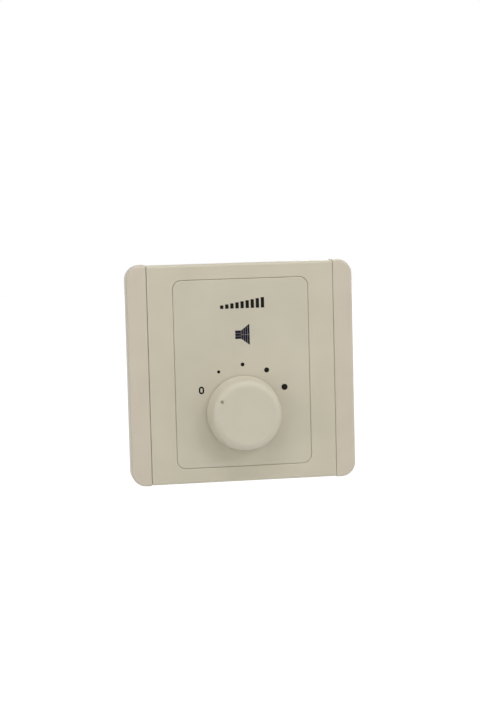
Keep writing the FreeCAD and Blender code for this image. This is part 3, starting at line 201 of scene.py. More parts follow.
def tapeFinish(name):
    # yellow polyester tape, glossy, with the wire's turns pressing through
    material, tree, shader = newMaterial(name)
    turns = wavesOn(tree, "Y", scale=640, distortion=0.8)
    patches = noiseOn(tree, scale=260, detail=3)
    blendColours(tree, shader, linear(196, 150, 44), linear(222, 184, 70), patches)
    varyRoughness(tree, shader, patches, low=0.18, high=0.34)
    creases = addBump(tree, shader, patches, depth=0.0002, strength=0.4)
    addBump(tree, shader, turns, depth=0.00003, strength=0.35, below=creases)
    return material


def coreFinish(name):
    # varnished transformer steel, browner where the varnish is thin
    material, tree, shader = newMaterial(name)
    patches = noiseOn(tree, scale=420, detail=5)
    blendColours(tree, shader, linear(62, 60, 62), linear(104, 98, 92), patches,
                 start=0.38, end=0.72)
    varyRoughness(tree, shader, patches, low=0.28, high=0.5)
    addBump(tree, shader, noiseOn(tree, scale=2400, detail=3), depth=0.00001, strength=0.6)
    shader.inputs["Metallic"].default_value = 0.75
    return material


def inkFinish(name, colour):
    material, tree, shader = newMaterial(name)
    specks = noiseOn(tree, scale=2600, detail=2)
    blendColours(tree, shader, shifted(colour, 0.7), shifted(colour, 1.3), specks)
    varyRoughness(tree, shader, specks, low=0.6, high=0.8)
    shader.inputs["Specular IOR Level"].default_value = 0.15
    return material


finishes = {
    "cover": mouldedPlastic("creamCover", linear(205, 198, 178), 0.40),
    "strip": mouldedPlastic("creamStrip", linear(207, 197, 180), 0.42),
    "insert": mouldedPlastic("creamInsert", linear(204, 197, 178), 0.38, sink=0.0002),
    "knob": mouldedPlastic("creamKnob", linear(207, 201, 182), 0.46, sink=0.0001),
    "frame": mouldedPlastic("ivoryFrame", linear(212, 206, 190), 0.5, grain=3600),
    "blackNylon": mouldedPlastic("blackNylon", linear(38, 38, 40), 0.45, grain=4200, mottle=0.12,
                                 gloss=0.3),
    "acetal": mouldedPlastic("whiteAcetal", linear(226, 225, 219), 0.35),
    "laminate": mouldedPlastic("brownLaminate", linear(128, 84, 48), 0.5, grain=3000, mottle=0.12),
    "terminalGreen": mouldedPlastic("terminalGreen", linear(52, 128, 92), 0.4, mottle=0.06),
    "zinc": plainMetal("dieCastZinc", linear(178, 180, 182), 0.42, grain=1800),
    "plated": plainMetal("zincPlatedSteel", linear(182, 185, 188), 0.3),
    "spring": plainMetal("springSteel", linear(176, 179, 184), 0.24),
    "shaft": plainMetal("turnedAluminium", linear(205, 207, 209), 0.3, 3400, stretch=(1, 12, 1)),
    "brass": plainMetal("brightBrass", linear(214, 182, 106), 0.26),
    "silver": plainMetal("silverPlate", linear(214, 211, 202), 0.22),
    "nickel": plainMetal("nickelPlate", linear(198, 192, 178), 0.24),
    "solder": plainMetal("solder", linear(190, 192, 194), 0.2, grain=1400, depth=0.00001),
    "enamel": plainMetal("enamelledCopper", linear(186, 98, 52), 0.24),
    "board": boardFinish("greenMask"),
    "trace": mouldedPlastic("maskedCopper", linear(46, 128, 78), 0.28, gloss=0.3, mottle=0.05),
    "tape": tapeFinish("windingTape"),
    "core": coreFinish("varnishedSteel"),
    "ink": inkFinish("blackInk", linear(11, 9, 5)),
    "navyInk": inkFinish("navyInk", linear(14, 11, 34)),
    "whiteInk": inkFinish("whiteInk", linear(225, 226, 222)),
}
print("finishes made:", len(finishes))


def ringPoints(radius, count, start=0.0, sweep=360.0, centre=(0, 0)):
    closed = abs(sweep) >= 360
    steps = count if closed else count - 1
    angles = (math.radians(start + sweep * n / steps) for n in range(count))
    return [(centre[0] + radius * math.cos(a), centre[1] + radius * math.sin(a)) for a in angles]


def boxOutline(left, right, low, high):
    return [(left, low), (right, low), (right, high), (left, high)]


def roundedOutline(width, height, radius, steps, centre):
    points = []
    corners = ((1, 1, 0), (-1, 1, 90), (-1, -1, 180), (1, -1, 270))
    for across, up, start in corners:
        middle = (
            centre[0] + across * (width / 2 - radius),
            centre[1] + up * (height / 2 - radius),
        )
        points += ringPoints(radius, steps + 1, start, 90, middle)
    return points


def addRow(bm, points, level, axis="Y"):
    # the points lie across the axis: +Y into the wall, or +Z up
    return [bm.verts.new((x, level, z) if axis == "Y" else (x, z, level)) for x, z in points]


def joinRows(bm, rows):
    # faces between closed rows that have the same number of points
    for first, second in zip(rows, rows[1:]):
        for n in range(len(first)):
            following = (n + 1) % len(first)
            bm.faces.new((first[n], first[following], second[following], second[n]))


def addPrism(bm, points, low, high, axis="Y"):
    ends = [addRow(bm, points, level, axis) for level in (low, high)]
    for row in ends:
        bm.faces.new(row)
    joinRows(bm, ends)


def addLoop(bm, outer, inner, low, high):
    # flat band between two outlines with the same number of points
    rows = [
        addRow(bm, points, level)
        for points, level in ((outer, low), (outer, high), (inner, high), (inner, low))
    ]
    joinRows(bm, rows + rows[:1])


def addRing(bm, centre, inner, outer, low, high, sides=24):
    circles = [ringPoints(r, sides, centre=centre) for r in (outer, inner)]
    addLoop(bm, *circles, low, high)


def addLathe(bm, profile, centre, sides):
    # profile: (radius, level) from one point on the axis to another
    rings = [
        addRow(bm, ringPoints(radius, sides, centre=centre) if radius else [centre], level)
        for radius, level in profile
    ]
    for low, high in zip(rings, rings[1:]):
        for n in range(sides):
            following = (n + 1) % sides
            corners = [low[n % len(low)], low[following % len(low)],
                       high[following % len(high)], high[n % len(high)]]
            bm.faces.new(list(dict.fromkeys(corners)))


def addTurnedRow(bm, centre, level, radii):
    # closed row round +Y in equal steps, with a radius for each
    points = []
    for n, radius in enumerate(radii):
        a = 2 * math.pi * n / len(radii)
        points.append((centre[0] + radius * math.cos(a), centre[1] + radius * math.sin(a)))
    return addRow(bm, points, level)


def addTube(bm, points, radius, sides=8):
    path = [Vector(p) for p in points]
    normal = None
    rings = []
    for n, spot in enumerate(path):
        before, after = path[max(n - 1, 0)], path[min(n + 1, len(path) - 1)]
        along = (after - before).normalized()
        if normal is None:
            normal = along.orthogonal().normalized()
        normal = (normal - normal.dot(along) * along).normalized()
        beside = along.cross(normal)
        rings.append([
            bm.verts.new(spot + normal * x + beside * z) for x, z in ringPoints(radius, sides)
        ])
    joinRows(bm, rings)
    bm.faces.new(rings[0])
    bm.faces.new(rings[-1])


def smoothPath(points, count=6):
    # curve through the points, for wires
    path = [Vector(p) for p in points]
    ends = [path[0], *path, path[-1]]
    result = []
    for a, b, c, e in zip(ends, ends[1:], ends[2:], ends[3:]):
        for n in range(count):
            t = n / count
            result.append(
                0.5 * (2 * b + (c - a) * t + (2 * a - 5 * b + 4 * c - e) * t * t
                       + (3 * b - a - 3 * c + e) * t ** 3)
            )
    result.append(path[-1])
    return result


def addPiece(name, body, finish, draw, replaced=(), smooth=32):
    # smooth: edges under this many degrees are shaded as one surface
    bm = bmesh.new()
    draw(bm)
    bmesh.ops.recalc_face_normals(bm, faces=bm.faces)
    bmesh.ops.scale(bm, vec=(mm, mm, mm), verts=bm.verts)
    mesh = bpy.data.meshes.new(name)
    bm.to_mesh(mesh)
    bm.free()
    mesh.polygons.foreach_set("use_smooth", [True] * len(mesh.polygons))
    mesh.set_sharp_from_angle(angle=math.radians(smooth))
    mesh.materials.append(finishes[finish])
    piece = bpy.data.objects.new(name, mesh)
    scene.collection.objects.link(piece)
    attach(piece, body)
    if replaced:
        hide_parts(*replaced)


nodeFinish = {
    "cover": "front_cover",
    "strip": "left_trim_strip right_trim_strip",
    "insert": "insert_panel",
    "knob": "knob",
    "frame": "mounting_frame",
    "zinc": "switch_bushing",
    "plated": "switch_nut switch_washer board_screws clamp_screws clamp_nuts transformer_clamp",
    "spring": "knob_clip retaining_ring detent_spring",
    "shaft": "switch_shaft",
    "brass": "terminal_contacts switch_rivets",
    "silver": "switch_contacts wiper_contact transformer_pins",
    "blackNylon": "switch_housing switch_rotor transformer_bobbin",
    "acetal": "detent_wheel",
    "laminate": "switch_stator",
    "board": "circuit_board",
    "core": "transformer_core",
    "tape": "transformer_winding",
    "terminalGreen": "terminal_block",
}
terminals = range(1, 5)
nodeFinish["plated"] += "".join(f" terminal_screw_{n}" for n in terminals)
nodeFinish["nickel"] = " ".join(f"terminal_cage_{n}" for n in terminals)


def dressNodes(choice):
    for finish, names in choice.items():
        for name in names.split():
            slots = nodes[name].data.materials
            slots.clear()
            slots.append(finishes[finish])


dressNodes(nodeFinish)
print("carried-over pieces dressed:", len(nodes))


knobUp = -15.9  # axis of the knob and of its switch
printSetting = {
    "face": -8.3,  # front face of the insert panel
    "ink": 0.03,  # thickness of the ink
    "sunk": 0.01,  # how far the ink reaches into the panel
    "dotCircle": 19.2,  # radius round the knob's axis
    "dots": ((-30, 1.25), (0, 1.53), (30, 2.02), (60, 2.46)),  # angle, diameter
    "dotSides": 28,
    "zeroAngle": -60,
    "zeroSize": (2.1, 3.0, 0.62),  # width, height, stroke
    "zeroFlat": 0.02,  # half the straight stretch at its top and bottom
    "zeroSteps": 8,  # in a quarter turn
    "barsPlace": (0.44, 27.55),
    "barsSize": (17.6, 4.1),
    "barCount": 9,
    "barShare": 0.66,  # of the pitch
    "lowestBar": 0.34,  # of the last bar's height
    "speakerPlace": (0.3, 15.13),
    "speakerSize": (5.8, 8.5),
    "speakerBox": (0.4, 0.2),  # box's width and half height, of the sign's
    "speakerLine": 0.09,  # bare lines in the sign
    "speakerRows": 3,
    "speakerSteps": 4,
}


def inkLevels():
    face = printSetting["face"]
    return face - printSetting["ink"], face + printSetting["sunk"]


def onDotCircle(angle):
    turn, radius = math.radians(angle), printSetting["dotCircle"]
    return radius * math.sin(turn), radius * math.cos(turn) + knobUp


def drawDots(bm):
    for angle, diameter in printSetting["dots"]:
        centre = onDotCircle(angle)
        addPrism(bm, ringPoints(diameter / 2, printSetting["dotSides"], centre=centre),
                 *inkLevels())


def drawZero(bm):
    width, height, stroke = printSetting["zeroSize"]
    outer, inner = (
        roundedOutline(width - 2 * cut, height - 2 * cut,
                       width / 2 - cut - printSetting["zeroFlat"], printSetting["zeroSteps"],
                       onDotCircle(printSetting["zeroAngle"]))
        for cut in (0, stroke)
    )
    addLoop(bm, outer, inner, *inkLevels())


def drawBars(bm):
    # a row of rising bars: the plain sign for more or less
    (x, z), (width, height) = printSetting["barsPlace"], printSetting["barsSize"]
    count, share, lowest = (printSetting[k] for k in ("barCount", "barShare", "lowestBar"))
    pitch = width / (count - 1 + share)
    low = z - height / 2
    for n in range(count):
        left = x - width / 2 + n * pitch
        high = low + height * (lowest + (1 - lowest) * n / (count - 1))
        addPrism(bm, boxOutline(left, left + pitch * share, low, high), *inkLevels())


def drawSpeaker(bm):
    # plain loudspeaker sign: a small box and a horn, both cut by fine lines
    (x, z), (width, height) = printSetting["speakerPlace"], printSetting["speakerSize"]
    box, throat = (a * b for a, b in zip(printSetting["speakerSize"], printSetting["speakerBox"]))
    line, rows, steps = (
        printSetting[k] for k in ("speakerLine", "speakerRows", "speakerSteps")
    )
    left = x - width / 2
    tall = 2 * throat / rows
    for n in range(rows):
        low = z - throat + n * tall
        addPrism(bm, boxOutline(left, left + box, low + line / 2, low + tall - line / 2),
                 *inkLevels())
    start = left + box + line
    horn = left + width - start
    pitch = horn / steps
    for n in range(steps):
        near, far = start + n * pitch, start + (n + 1) * pitch - line
        nearHigh, farHigh = (throat + (height / 2 - throat) * (a - start) / horn
                             for a in (near, far))
        for side in (-1, 1):
            points = ((near, line / 2), (far, line / 2), (far, farHigh), (near, nearHigh))
            addPrism(bm, [(a, z + side * b) for a, b in points], *inkLevels())


addPiece("step_dots", "plate", "ink", drawDots)
addPiece("zero_mark", "plate", "ink", drawZero)
addPiece("rising_bars", "plate", "ink", drawBars)
addPiece("speaker_sign", "plate", "navyInk", drawSpeaker)
print("print on the insert panel made")


panHead = {
    "chamfer": 0.08,
    "rim": 0.55,  # level of the straight rim's top, of the head's height
    "curve": ((0.95, 0.16), (0.84, 0.31)),  # radius, and rise above the rim, as shares
    "flat": 0.62,  # of the radius
    "crossReach": 0.9,  # of the flat's radius
    "crossWidth": 0.17,  # half an arm's width at its root, of the radius
    "crossTip": 0.8,  # arm's width at its tip, of that at its root
    "crossDepth": 0.62,  # of the head's height
    "crossFloor": 0.72,  # floor's size, of the mouth's
    "sides": 40,
}
threadSteps = 6  # rows of points in one turn
nutShape = {
    "turned": 0.96,  # radius of the end faces, of half the width over flats
    "slope": 0.58,  # height of the turned-off corners, of what they lose
    "sides": 48,
}


def addCrossHead(bm, centre, base, top, radius):
    # pan head that faces +Y, with a cross recess that narrows downwards
    tall = top - base
    rimLevel = base + tall * panHead["rim"]
    flat = radius * panHead["flat"]
    profile = [(radius - panHead["chamfer"], base), (radius, base + panHead["chamfer"]),
               (radius, rimLevel)]
    profile += [(radius * share, rimLevel + tall * rise) for share, rise in panHead["curve"]]
    profile.append((flat, top))
    rows = [
        addRow(bm, ringPoints(r, panHead["sides"], centre=centre), level) for r, level in profile
    ]
    joinRows(bm, rows)
    bm.faces.new(rows[0])
    reach, half = flat * panHead["crossReach"], radius * panHead["crossWidth"]
    tip = half * panHead["crossTip"]
    cross = []
    for turn in range(4):
        a = math.radians(90 * turn)
        for x, z in ((reach, -tip), (reach, tip), (half, half)):
            cross.append((x * math.cos(a) - z * math.sin(a), x * math.sin(a) + z * math.cos(a)))
    mouth, floor = (
        addRow(bm, [(centre[0] + x * share, centre[1] + z * share) for x, z in cross], level)
        for share, level in ((1, top), (panHead["crossFloor"], top - tall * panHead["crossDepth"]))
    )
    rim = rows[-1]
    edges = [bm.edges.get(pair) for pair in zip(rim, rim[1:] + rim[:1])]
    edges += [bm.edges.new(pair) for pair in zip(mouth, mouth[1:] + mouth[:1])]
    bmesh.ops.triangle_fill(bm, use_beauty=True, use_dissolve=False, edges=edges)
    joinRows(bm, [mouth, floor])
    bm.faces.new(floor)


def grooveDepths(level, pitch, depth, sides):
    # how far a thread lies under its crest, in equal steps round one level
    phases = ((level / pitch - n / sides) % 1 for n in range(sides))
    return [abs(2 * phase - 1) * depth for phase in phases]


def addThread(bm, centre, low, high, radius, pitch, depth, sides=28):
    # shank with a helical thread that fades out at both closed ends
    steps = int((high - low) / pitch * threadSteps)
    rows = []
    for n in range(steps + 1):
        level = low + (high - low) * n / steps
        fade = min(1, (level - low) / pitch, (high - level) / pitch)
        crest = radius - depth * (1 - fade)
        grooves = grooveDepths(level, pitch, depth, sides)
        rows.append(addTurnedRow(bm, centre, level, [crest - fade * g for g in grooves]))
    joinRows(bm, rows)
    bm.faces.new(rows[0])
    bm.faces.new(rows[-1])


def addNut(bm, centre, low, high, flats, bore):
    # hexagon with turned-off corners and a bore
    corner = flats / math.sqrt(3)
    cut = corner - flats / 2 * nutShape["turned"]
    drop = cut * nutShape["slope"]
    sixth = math.pi / 3
    angles = (2 * math.pi * n / nutShape["sides"] for n in range(nutShape["sides"]))
    hexagon = [flats / 2 / math.cos((a + sixth / 2) % sixth - sixth / 2) for a in angles]
    limits = ((low, bore), (low, corner - cut), (low + drop, corner),
              (high - drop, corner), (high, corner - cut), (high, bore))
    rows = [
        addTurnedRow(bm, centre, level, [min(r, limit) for r in hexagon])
        for level, limit in limits
    ]
    joinRows(bm, rows + rows[:1])


boardScrewSetting = {
    "across": 21.5,
    "up": 27.5,
    "seat": 15.0,
    "headTop": 16.9,
    "headRadius": 2.7,
    "shankRadius": 1.2,
    "shankInHead": 0.1,
    "tip": 7.0,
    "pitch": 0.9,
    "threadDepth": 0.28,
}
clampScrewSetting = {
    "across": 19.4,
    "up": 8.0,
    "seat": 15.8,
    "headTop": 17.7,
    "headRadius": 2.7,
    "shankRadius": 1.5,
    "shankInHead": 0.1,
    "tip": 10.4,
    "pitch": 0.5,
    "threadDepth": 0.2,
    "nutLow": 11.2,
    "nutHigh": 13.4,
    "nutFlats": 5.5,
    "nutRoom": 0.05,
}
boardScrews = tuple(
    (x * boardScrewSetting["across"], z * boardScrewSetting["up"]) for x in (-1, 1) for z in (-1, 1)
)
clampScrews = tuple((x * clampScrewSetting["across"], clampScrewSetting["up"]) for x in (-1, 1))


def drawScrews(bm, centres, size):
    for centre in centres:
        addCrossHead(bm, centre, size["seat"], size["headTop"], size["headRadius"])
        addThread(bm, centre, size["tip"], size["seat"] + size["shankInHead"],
                  size["shankRadius"], size["pitch"], size["threadDepth"])


def drawClampNuts(bm):
    size = clampScrewSetting
    for centre in clampScrews:
        addNut(bm, centre, size["nutLow"], size["nutHigh"], size["nutFlats"],
               size["shankRadius"] + size["nutRoom"])


addPiece("board_screw_set", "plate", "plated",
         lambda bm: drawScrews(bm, boardScrews, boardScrewSetting),
         ["board_screws"])
addPiece("clamp_screw_pair", "plate", "plated",
         lambda bm: drawScrews(bm, clampScrews, clampScrewSetting),
         ["clamp_screws"])
addPiece("clamp_nut_pair", "plate", "plated", drawClampNuts, ["clamp_nuts"])
print("screws and nuts made")


coreSetting = {
    "across": 15.0,  # half the width
    "low": 15.0,  # side that stands on the board
    "high": 40.0,
    "bottom": 2.0,
    "top": 14.0,
    "leg": 5.0,
    "windows": ((1, 1), (3, 1)),  # column and row in a sheet's grid
    "sheets": 24,
    "inset": 0.09,  # how far a sheet may stand back from the stack's outline
    "gap": 0.05,
    "gapShare": (0.3, 1),  # between the narrowest gap and the widest
}


def addSheet(bm, bottom, top, inset):
    # one lamination as a grid of five columns and three rows, less its two windows
    size = coreSetting
    across = size["across"] - inset
    columns = [-across, -size["leg"] * 2, -size["leg"], size["leg"], size["leg"] * 2, across]
    rows = [size["low"], size["low"] + size["leg"], size["high"] - size["leg"],
            size["high"] - inset]
    solid = {(c, r) for c in range(5) for r in range(3) if (c, r) not in size["windows"]}
    corners = {}

    def corner(c, r, level):
        key = (c, r, level)
        if key not in corners:
            corners[key] = bm.verts.new((columns[c], rows[r], level))
        return corners[key]

    for c, r in solid:
        around = ((c, r), (c + 1, r), (c + 1, r + 1), (c, r + 1))
        for level in (bottom, top):
            bm.faces.new([corner(a, b, level) for a, b in around])
        sides = (((c, r - 1), 0, 1), ((c + 1, r), 1, 2), ((c, r + 1), 2, 3), ((c - 1, r), 3, 0))
        for neighbour, first, second in sides:
            if neighbour not in solid:
                a, b = around[first], around[second]
                bm.faces.new((corner(*a, bottom), corner(*b, bottom),
                              corner(*b, top), corner(*a, top)))


def drawCore(bm):
    size = coreSetting
    pitch = (size["top"] - size["bottom"]) / size["sheets"]
    for n in range(size["sheets"]):
        bottom = size["bottom"] + n * pitch
        inset = random.uniform(0, size["inset"])
        gap = size["gap"] * random.uniform(*size["gapShare"])
        addSheet(bm, bottom, bottom + pitch - gap, inset)


addPiece("core_sheets", "plate", "core", drawCore, ["transformer_core"])
print("transformer core laminated")


# places in the circuit board, across and up
switchPins = ((-7.101, -11.8), (-4.1, -8.799), (0.0, -7.7), (4.1, -8.799), (7.101, -11.8),
              (0.0, -20.7))  # the last one is the common pin
coilPins = tuple((x, z) for z in (-1.2, 17.2) for x in (-7.5, -2.5, 2.5, 7.5))
polePins = tuple((x, 22.0) for x in (-7.62, -2.54, 2.54, 7.62))

coilSetting = {
    "bottom": -2.7,
    "top": 18.7,
    "low": 21.0,  # side next to the board
    "high": 34.0,
    "barBottom": -3.2,
    "barTop": 19.2,
    "flapFrom": -3.5,
    "flapTo": 4.0,
    "flapThickness": 0.07,
    "flapMargin": 0.1,
    "flapSkew": 0.4,
    "flapSunk": 0.02,
    "leadRadius": 0.14,
    "leadSway": 0.25,
    "leadStart": (0.86, 22.6),  # share of its pin's place across, and level
    "leadOnBar": (0.88, 21.2),
    "leadDown": (18.6, 15.9),  # levels of the straight stretch
    "leadTuck": (0.5, 15.26),  # back towards the pin, and level
    "wrapLevel": 15.2,
    "wrapRadius": 0.6,
    "wrapAside": 0.1,  # from the wrap's start to the lead's end
    "wrapStep": 30,  # degrees
    "wrapCount": 12,
}


def drawTapeFlap(bm):
    # loose end of the tape on the coil's lower face
    size = coilSetting
    low, high = size["low"] + size["flapMargin"], size["high"] - size["flapMargin"]
    points = [(size["flapFrom"], low), (size["flapTo"], low),
              (size["flapTo"] - size["flapSkew"], high), (size["flapFrom"], high)]
    addPrism(bm, points, size["bottom"] - size["flapThickness"],
             size["bottom"] + size["flapSunk"], "Z")


def drawLeads(bm):
    # wires from the coil over the pin bars to the pins under them
    size = coilSetting
    radius, wrap = size["leadRadius"], size["wrapRadius"]
    (gather, first), (spread, second), (tuck, last) = (
        size[k] for k in ("leadStart", "leadOnBar", "leadTuck")
    )
    third, fourth = size["leadDown"]
    for side, coil, bar, pins in ((-1, size["bottom"], size["barBottom"], coilPins[:4]),
                                  (1, size["top"], size["barTop"], coilPins[4:])):
        out = bar + side * radius
        for x, pin in pins:
            sway = random.uniform(-size["leadSway"], size["leadSway"])
            addTube(bm, smoothPath([
                (x * gather, first, coil + side * radius),
                (x * spread + sway, second, out),
                (x + sway, third, out),
                (x, fourth, out),
                (x, last, out - side * tuck),
                (x + size["wrapAside"], size["wrapLevel"], pin + side * wrap),
            ]), radius)
            angles = (math.radians(90 * side + size["wrapStep"] * k)
                      for k in range(size["wrapCount"]))
            addTube(bm, [(x + wrap * math.cos(a), size["wrapLevel"], pin + wrap * math.sin(a))
                         for a in angles], radius)


addPiece("tape_flap", "plate", "tape", drawTapeFlap)
addPiece("coil_leads", "plate", "enamel", drawLeads)
print("coil dressed")


boardSetting = {
    "front": 13.4,
    "back": 15.0,
    "sunk": 0.01,  # how far a trace or a pad reaches into the board
    "mask": 0.035,  # how far a trace lifts the green mask
    "pad": 0.05,
    "print": 0.045,
    "trace": 1.1,
    "pinRadius": 0.45,
    "pinPad": (0.56, 1.05),  # inner and outer radius
    "pinPadSides": 24,
    "screwPad": (1.5, 3.3),
    "screwPadSides": 32,
}
rearTraces = (
    (switchPins[0], (-9.6, -9.3), (-9.6, -3.4), coilPins[0]),
    (switchPins[1], (-4.1, -3.0), coilPins[1]),
    (switchPins[2], (0.0, -3.6), coilPins[2]),
    (switchPins[3], (6.2, -6.7), (6.2, -2.6), coilPins[3]),
    (switchPins[4], (12.0, -7.0), (12.0, 14.4), (9.3, 17.1), coilPins[7]),
    (coilPins[4], polePins[0]),
    (coilPins[6], polePins[2]),
)
frontTraces = (
    (switchPins[5], (-6.0, -26.4), (-15.6, -26.4), (-16.9, -25.0), (-16.9, 17.6), (-12.6, 21.9),
     polePins[0]),
    (coilPins[5], polePins[1]),
    (coilPins[3], (15.6, 3.4), (15.6, 16.8), (10.4, 22.0), polePins[3]),
    (coilPins[2], (2.5, 6.0), (-2.5, 11.0), coilPins[5]),
)

trackShape = {
    "capPoints": 9,  # in a round end
    "leastCosine": 0.5,  # of half a bend: the corners of sharper bends are cut short
}


def addTrack(bm, points, width, low, high):
    # flat strip of constant width along the points, mitred at the bends, with round ends
    half = width / 2
    spots = [Vector(p) for p in points]
    ways = [(b - a).normalized() for a, b in zip(spots, spots[1:])]
    left, right = [], []
    for spot, first, second in zip(spots[1:], ways, ways[1:]):
        along = (first + second).normalized()
        beside = Vector((-along.y, along.x))
        reach = half / max(trackShape["leastCosine"], along.dot(first))
        left.append(spot + beside * reach)
        right.append(spot - beside * reach)
    caps = []
    for spot, way, start in ((spots[-1], ways[-1], -90), (spots[0], ways[0], 90)):
        facing = math.degrees(math.atan2(way.y, way.x))
        arc = ringPoints(half, trackShape["capPoints"], facing + start, 180)
        caps.append([spot + Vector(p) for p in arc])
    addPrism(bm, caps[0] + left[::-1] + caps[1] + right, low, high)


def boardLayers(height):
    # levels of what lies on the rear and on the front face
    size = boardSetting
    return ((size["back"] - size["sunk"], size["back"] + height),
            (size["front"] - height, size["front"] + size["sunk"]))


def drawTraces(bm):
    layers = boardLayers(boardSetting["mask"])
    for traces, (low, high) in zip((rearTraces, frontTraces), layers):
        for points in traces:
            addTrack(bm, points, boardSetting["trace"], low, high)


def drawPads(bm):
    size = boardSetting
    for centres, radii, sides in (
        (switchPins + coilPins + polePins, size["pinPad"], size["pinPadSides"]),
        (boardScrews, size["screwPad"], size["screwPadSides"]),
    ):
        for centre in centres:
            for low, high in boardLayers(size["pad"]):
                addRing(bm, centre, *radii, low, high, sides)


solderSetting = {
    "height": 0.95,
    "heightShare": (0.85, 1.1),  # between the lowest joint and the highest
    "footShare": (0.84, 0.94),  # of the pad's radius
    "low": 0.04,  # foot above the board
    "lift": 0.06,  # start of the flank above the board
    "intoPin": 0.03,
    "neck": 0.1,
    "curve": (2.2, 1.3),  # powers for the radius and for the level
    "steps": 6,
    "sides": 24,
}


def drawSolder(bm):
    # a hollow-flanked cone round each pin
    size = solderSetting
    inner = boardSetting["pinRadius"] - size["intoPin"]
    widening, rising = size["curve"]
    for pins, face, side in ((switchPins, boardSetting["back"], 1),
                             (coilPins + polePins, boardSetting["front"], -1)):
        for centre in pins:
            tall = size["height"] * random.uniform(*size["heightShare"])
            base = boardSetting["pinPad"][1] * random.uniform(*size["footShare"])
            foot = face + side * size["low"]
            profile = [(base, foot)]
            for n in range(1, size["steps"] + 1):
                t = n / size["steps"]
                flank = (base - inner - size["neck"]) * (1 - t) ** widening
                profile.append((inner + size["neck"] * (1 - t) + flank,
                                face + side * (size["lift"] + tall * t ** rising)))
            profile.append((inner, foot))
            rows = [
                addRow(bm, ringPoints(r, size["sides"], centre=centre), level)
                for r, level in profile
            ]
            joinRows(bm, rows + rows[:1])


# plain numerals as strokes in a box one unit tall
digitStrokes = {
    1: [[(-0.2, 0.3), (0, 0.5), (0, -0.5)]],
    2: [ringPoints(0.26, 9, 165, -200, (0, 0.24)) + [(-0.28, -0.5), (0.3, -0.5)]],
    3: [ringPoints(0.25, 9, 150, -240, (0, 0.25)), ringPoints(0.27, 9, 90, -240, (0, -0.23))],
    4: [[(0.12, -0.5), (0.12, 0.5), (-0.32, -0.16)], [(-0.32, -0.16), (0.34, -0.16)]],
}
digitShape = {
    "stroke": 0.15,  # this and the next two are shares of the height
    "zeroWidth": 0.62,
    "zeroCorner": 0.3,
    "zeroSteps": 6,
    "strokeRise": 0.004,  # how far a second stroke lies above the first
}


def addDigit(bm, digit, centre, height, low, high):
    # numeral for a face seen from behind
    stroke = height * digitShape["stroke"]
    if digit == 0:
        outer, inner = (
            roundedOutline(height * digitShape["zeroWidth"] - cut, height + stroke - cut,
                           height * digitShape["zeroCorner"] - cut / 2, digitShape["zeroSteps"],
                           centre)
            for cut in (0, 2 * stroke)
        )
        addLoop(bm, outer, inner, low, high)
        return
    for number, path in enumerate(digitStrokes[digit]):
        points = [(centre[0] - x * height, centre[1] + z * height) for x, z in path]
        addTrack(bm, points, stroke, low, high + digitShape["strokeRise"] * number)


boardPrint = {
    "line": 0.22,
    "frames": ((-13.2, 13.2, -29.1, -3.9), (-23.5, 23.5, 2.3, 13.7), (-10.9, 10.9, 20.0, 30.75)),
    "screwRing": (3.45, 3.65),  # inner and outer radius
    "screwRingSides": 32,
    "shaftRing": 4.5,
    "shaftRingSides": 40,
    "digitHeight": 1.5,
    "digitInset": 2.1,  # from the pin toward the switch's axis
}
poleMarks = {
    "face": 27.4,  # rear face of the terminal block
    "relief": 0.02,
    "up": 22.3,
    "digitHeight": 1.5,
}


def drawBoardPrint(bm):
    marks = boardPrint
    low, high = boardSetting["back"], boardSetting["back"] + boardSetting["print"]
    half = marks["line"] / 2
    for left, right, bottom, top in marks["frames"]:
        outer, inner = (boxOutline(left - d, right + d, bottom - d, top + d) for d in (half, -half))
        addLoop(bm, outer, inner, low, high)
    for centre in boardScrews:
        addRing(bm, centre, *marks["screwRing"], low, high, marks["screwRingSides"])
    for number, (x, z) in enumerate(switchPins[:-1]):
        a = math.atan2(z - knobUp, x)
        place = (x - marks["digitInset"] * math.cos(a), z - marks["digitInset"] * math.sin(a))
        addDigit(bm, number, place, marks["digitHeight"], low, high)
    addRing(bm, (0, knobUp), marks["shaftRing"] - half, marks["shaftRing"] + half, low, high,
            marks["shaftRingSides"])


def drawPoleNumbers(bm):
    marks = poleMarks
    low, high = marks["face"] - marks["relief"], marks["face"] + marks["relief"]
    for number, (x, _) in zip(terminals, reversed(polePins)):
        addDigit(bm, number, (x, marks["up"]), marks["digitHeight"], low, high)


addPiece("board_traces", "plate", "trace", drawTraces)
addPiece("board_pads", "plate", "solder", drawPads)
addPiece("solder_joints", "plate", "solder", drawSolder, smooth=60)
addPiece("board_print", "plate", "whiteInk", drawBoardPrint)
addPiece("pole_numbers", "plate", "whiteInk", drawPoleNumbers)
print("circuit board dressed")


terminalSetting = {
    "up": 25.6,
    "tip": 20.5,
    "headLow": 24.75,
    "headHigh": 26.35,
    "headRadius": 1.8,
    "chamfer": 0.06,
    "sides": 36,
    "slotDepth": 0.8,
    "slotWidth": 0.6,
    "rim": 0.14,  # rounding of the head's upper edge
    "rimBend": 0.3,  # of the rounding, at its middle point
    "arcPoints": 19,
    "shankRadius": 1.25,
    "shankInHead": 0.05,
    "pitch": 0.45,
    "threadDepth": 0.14,
    "threadSides": 24,
}


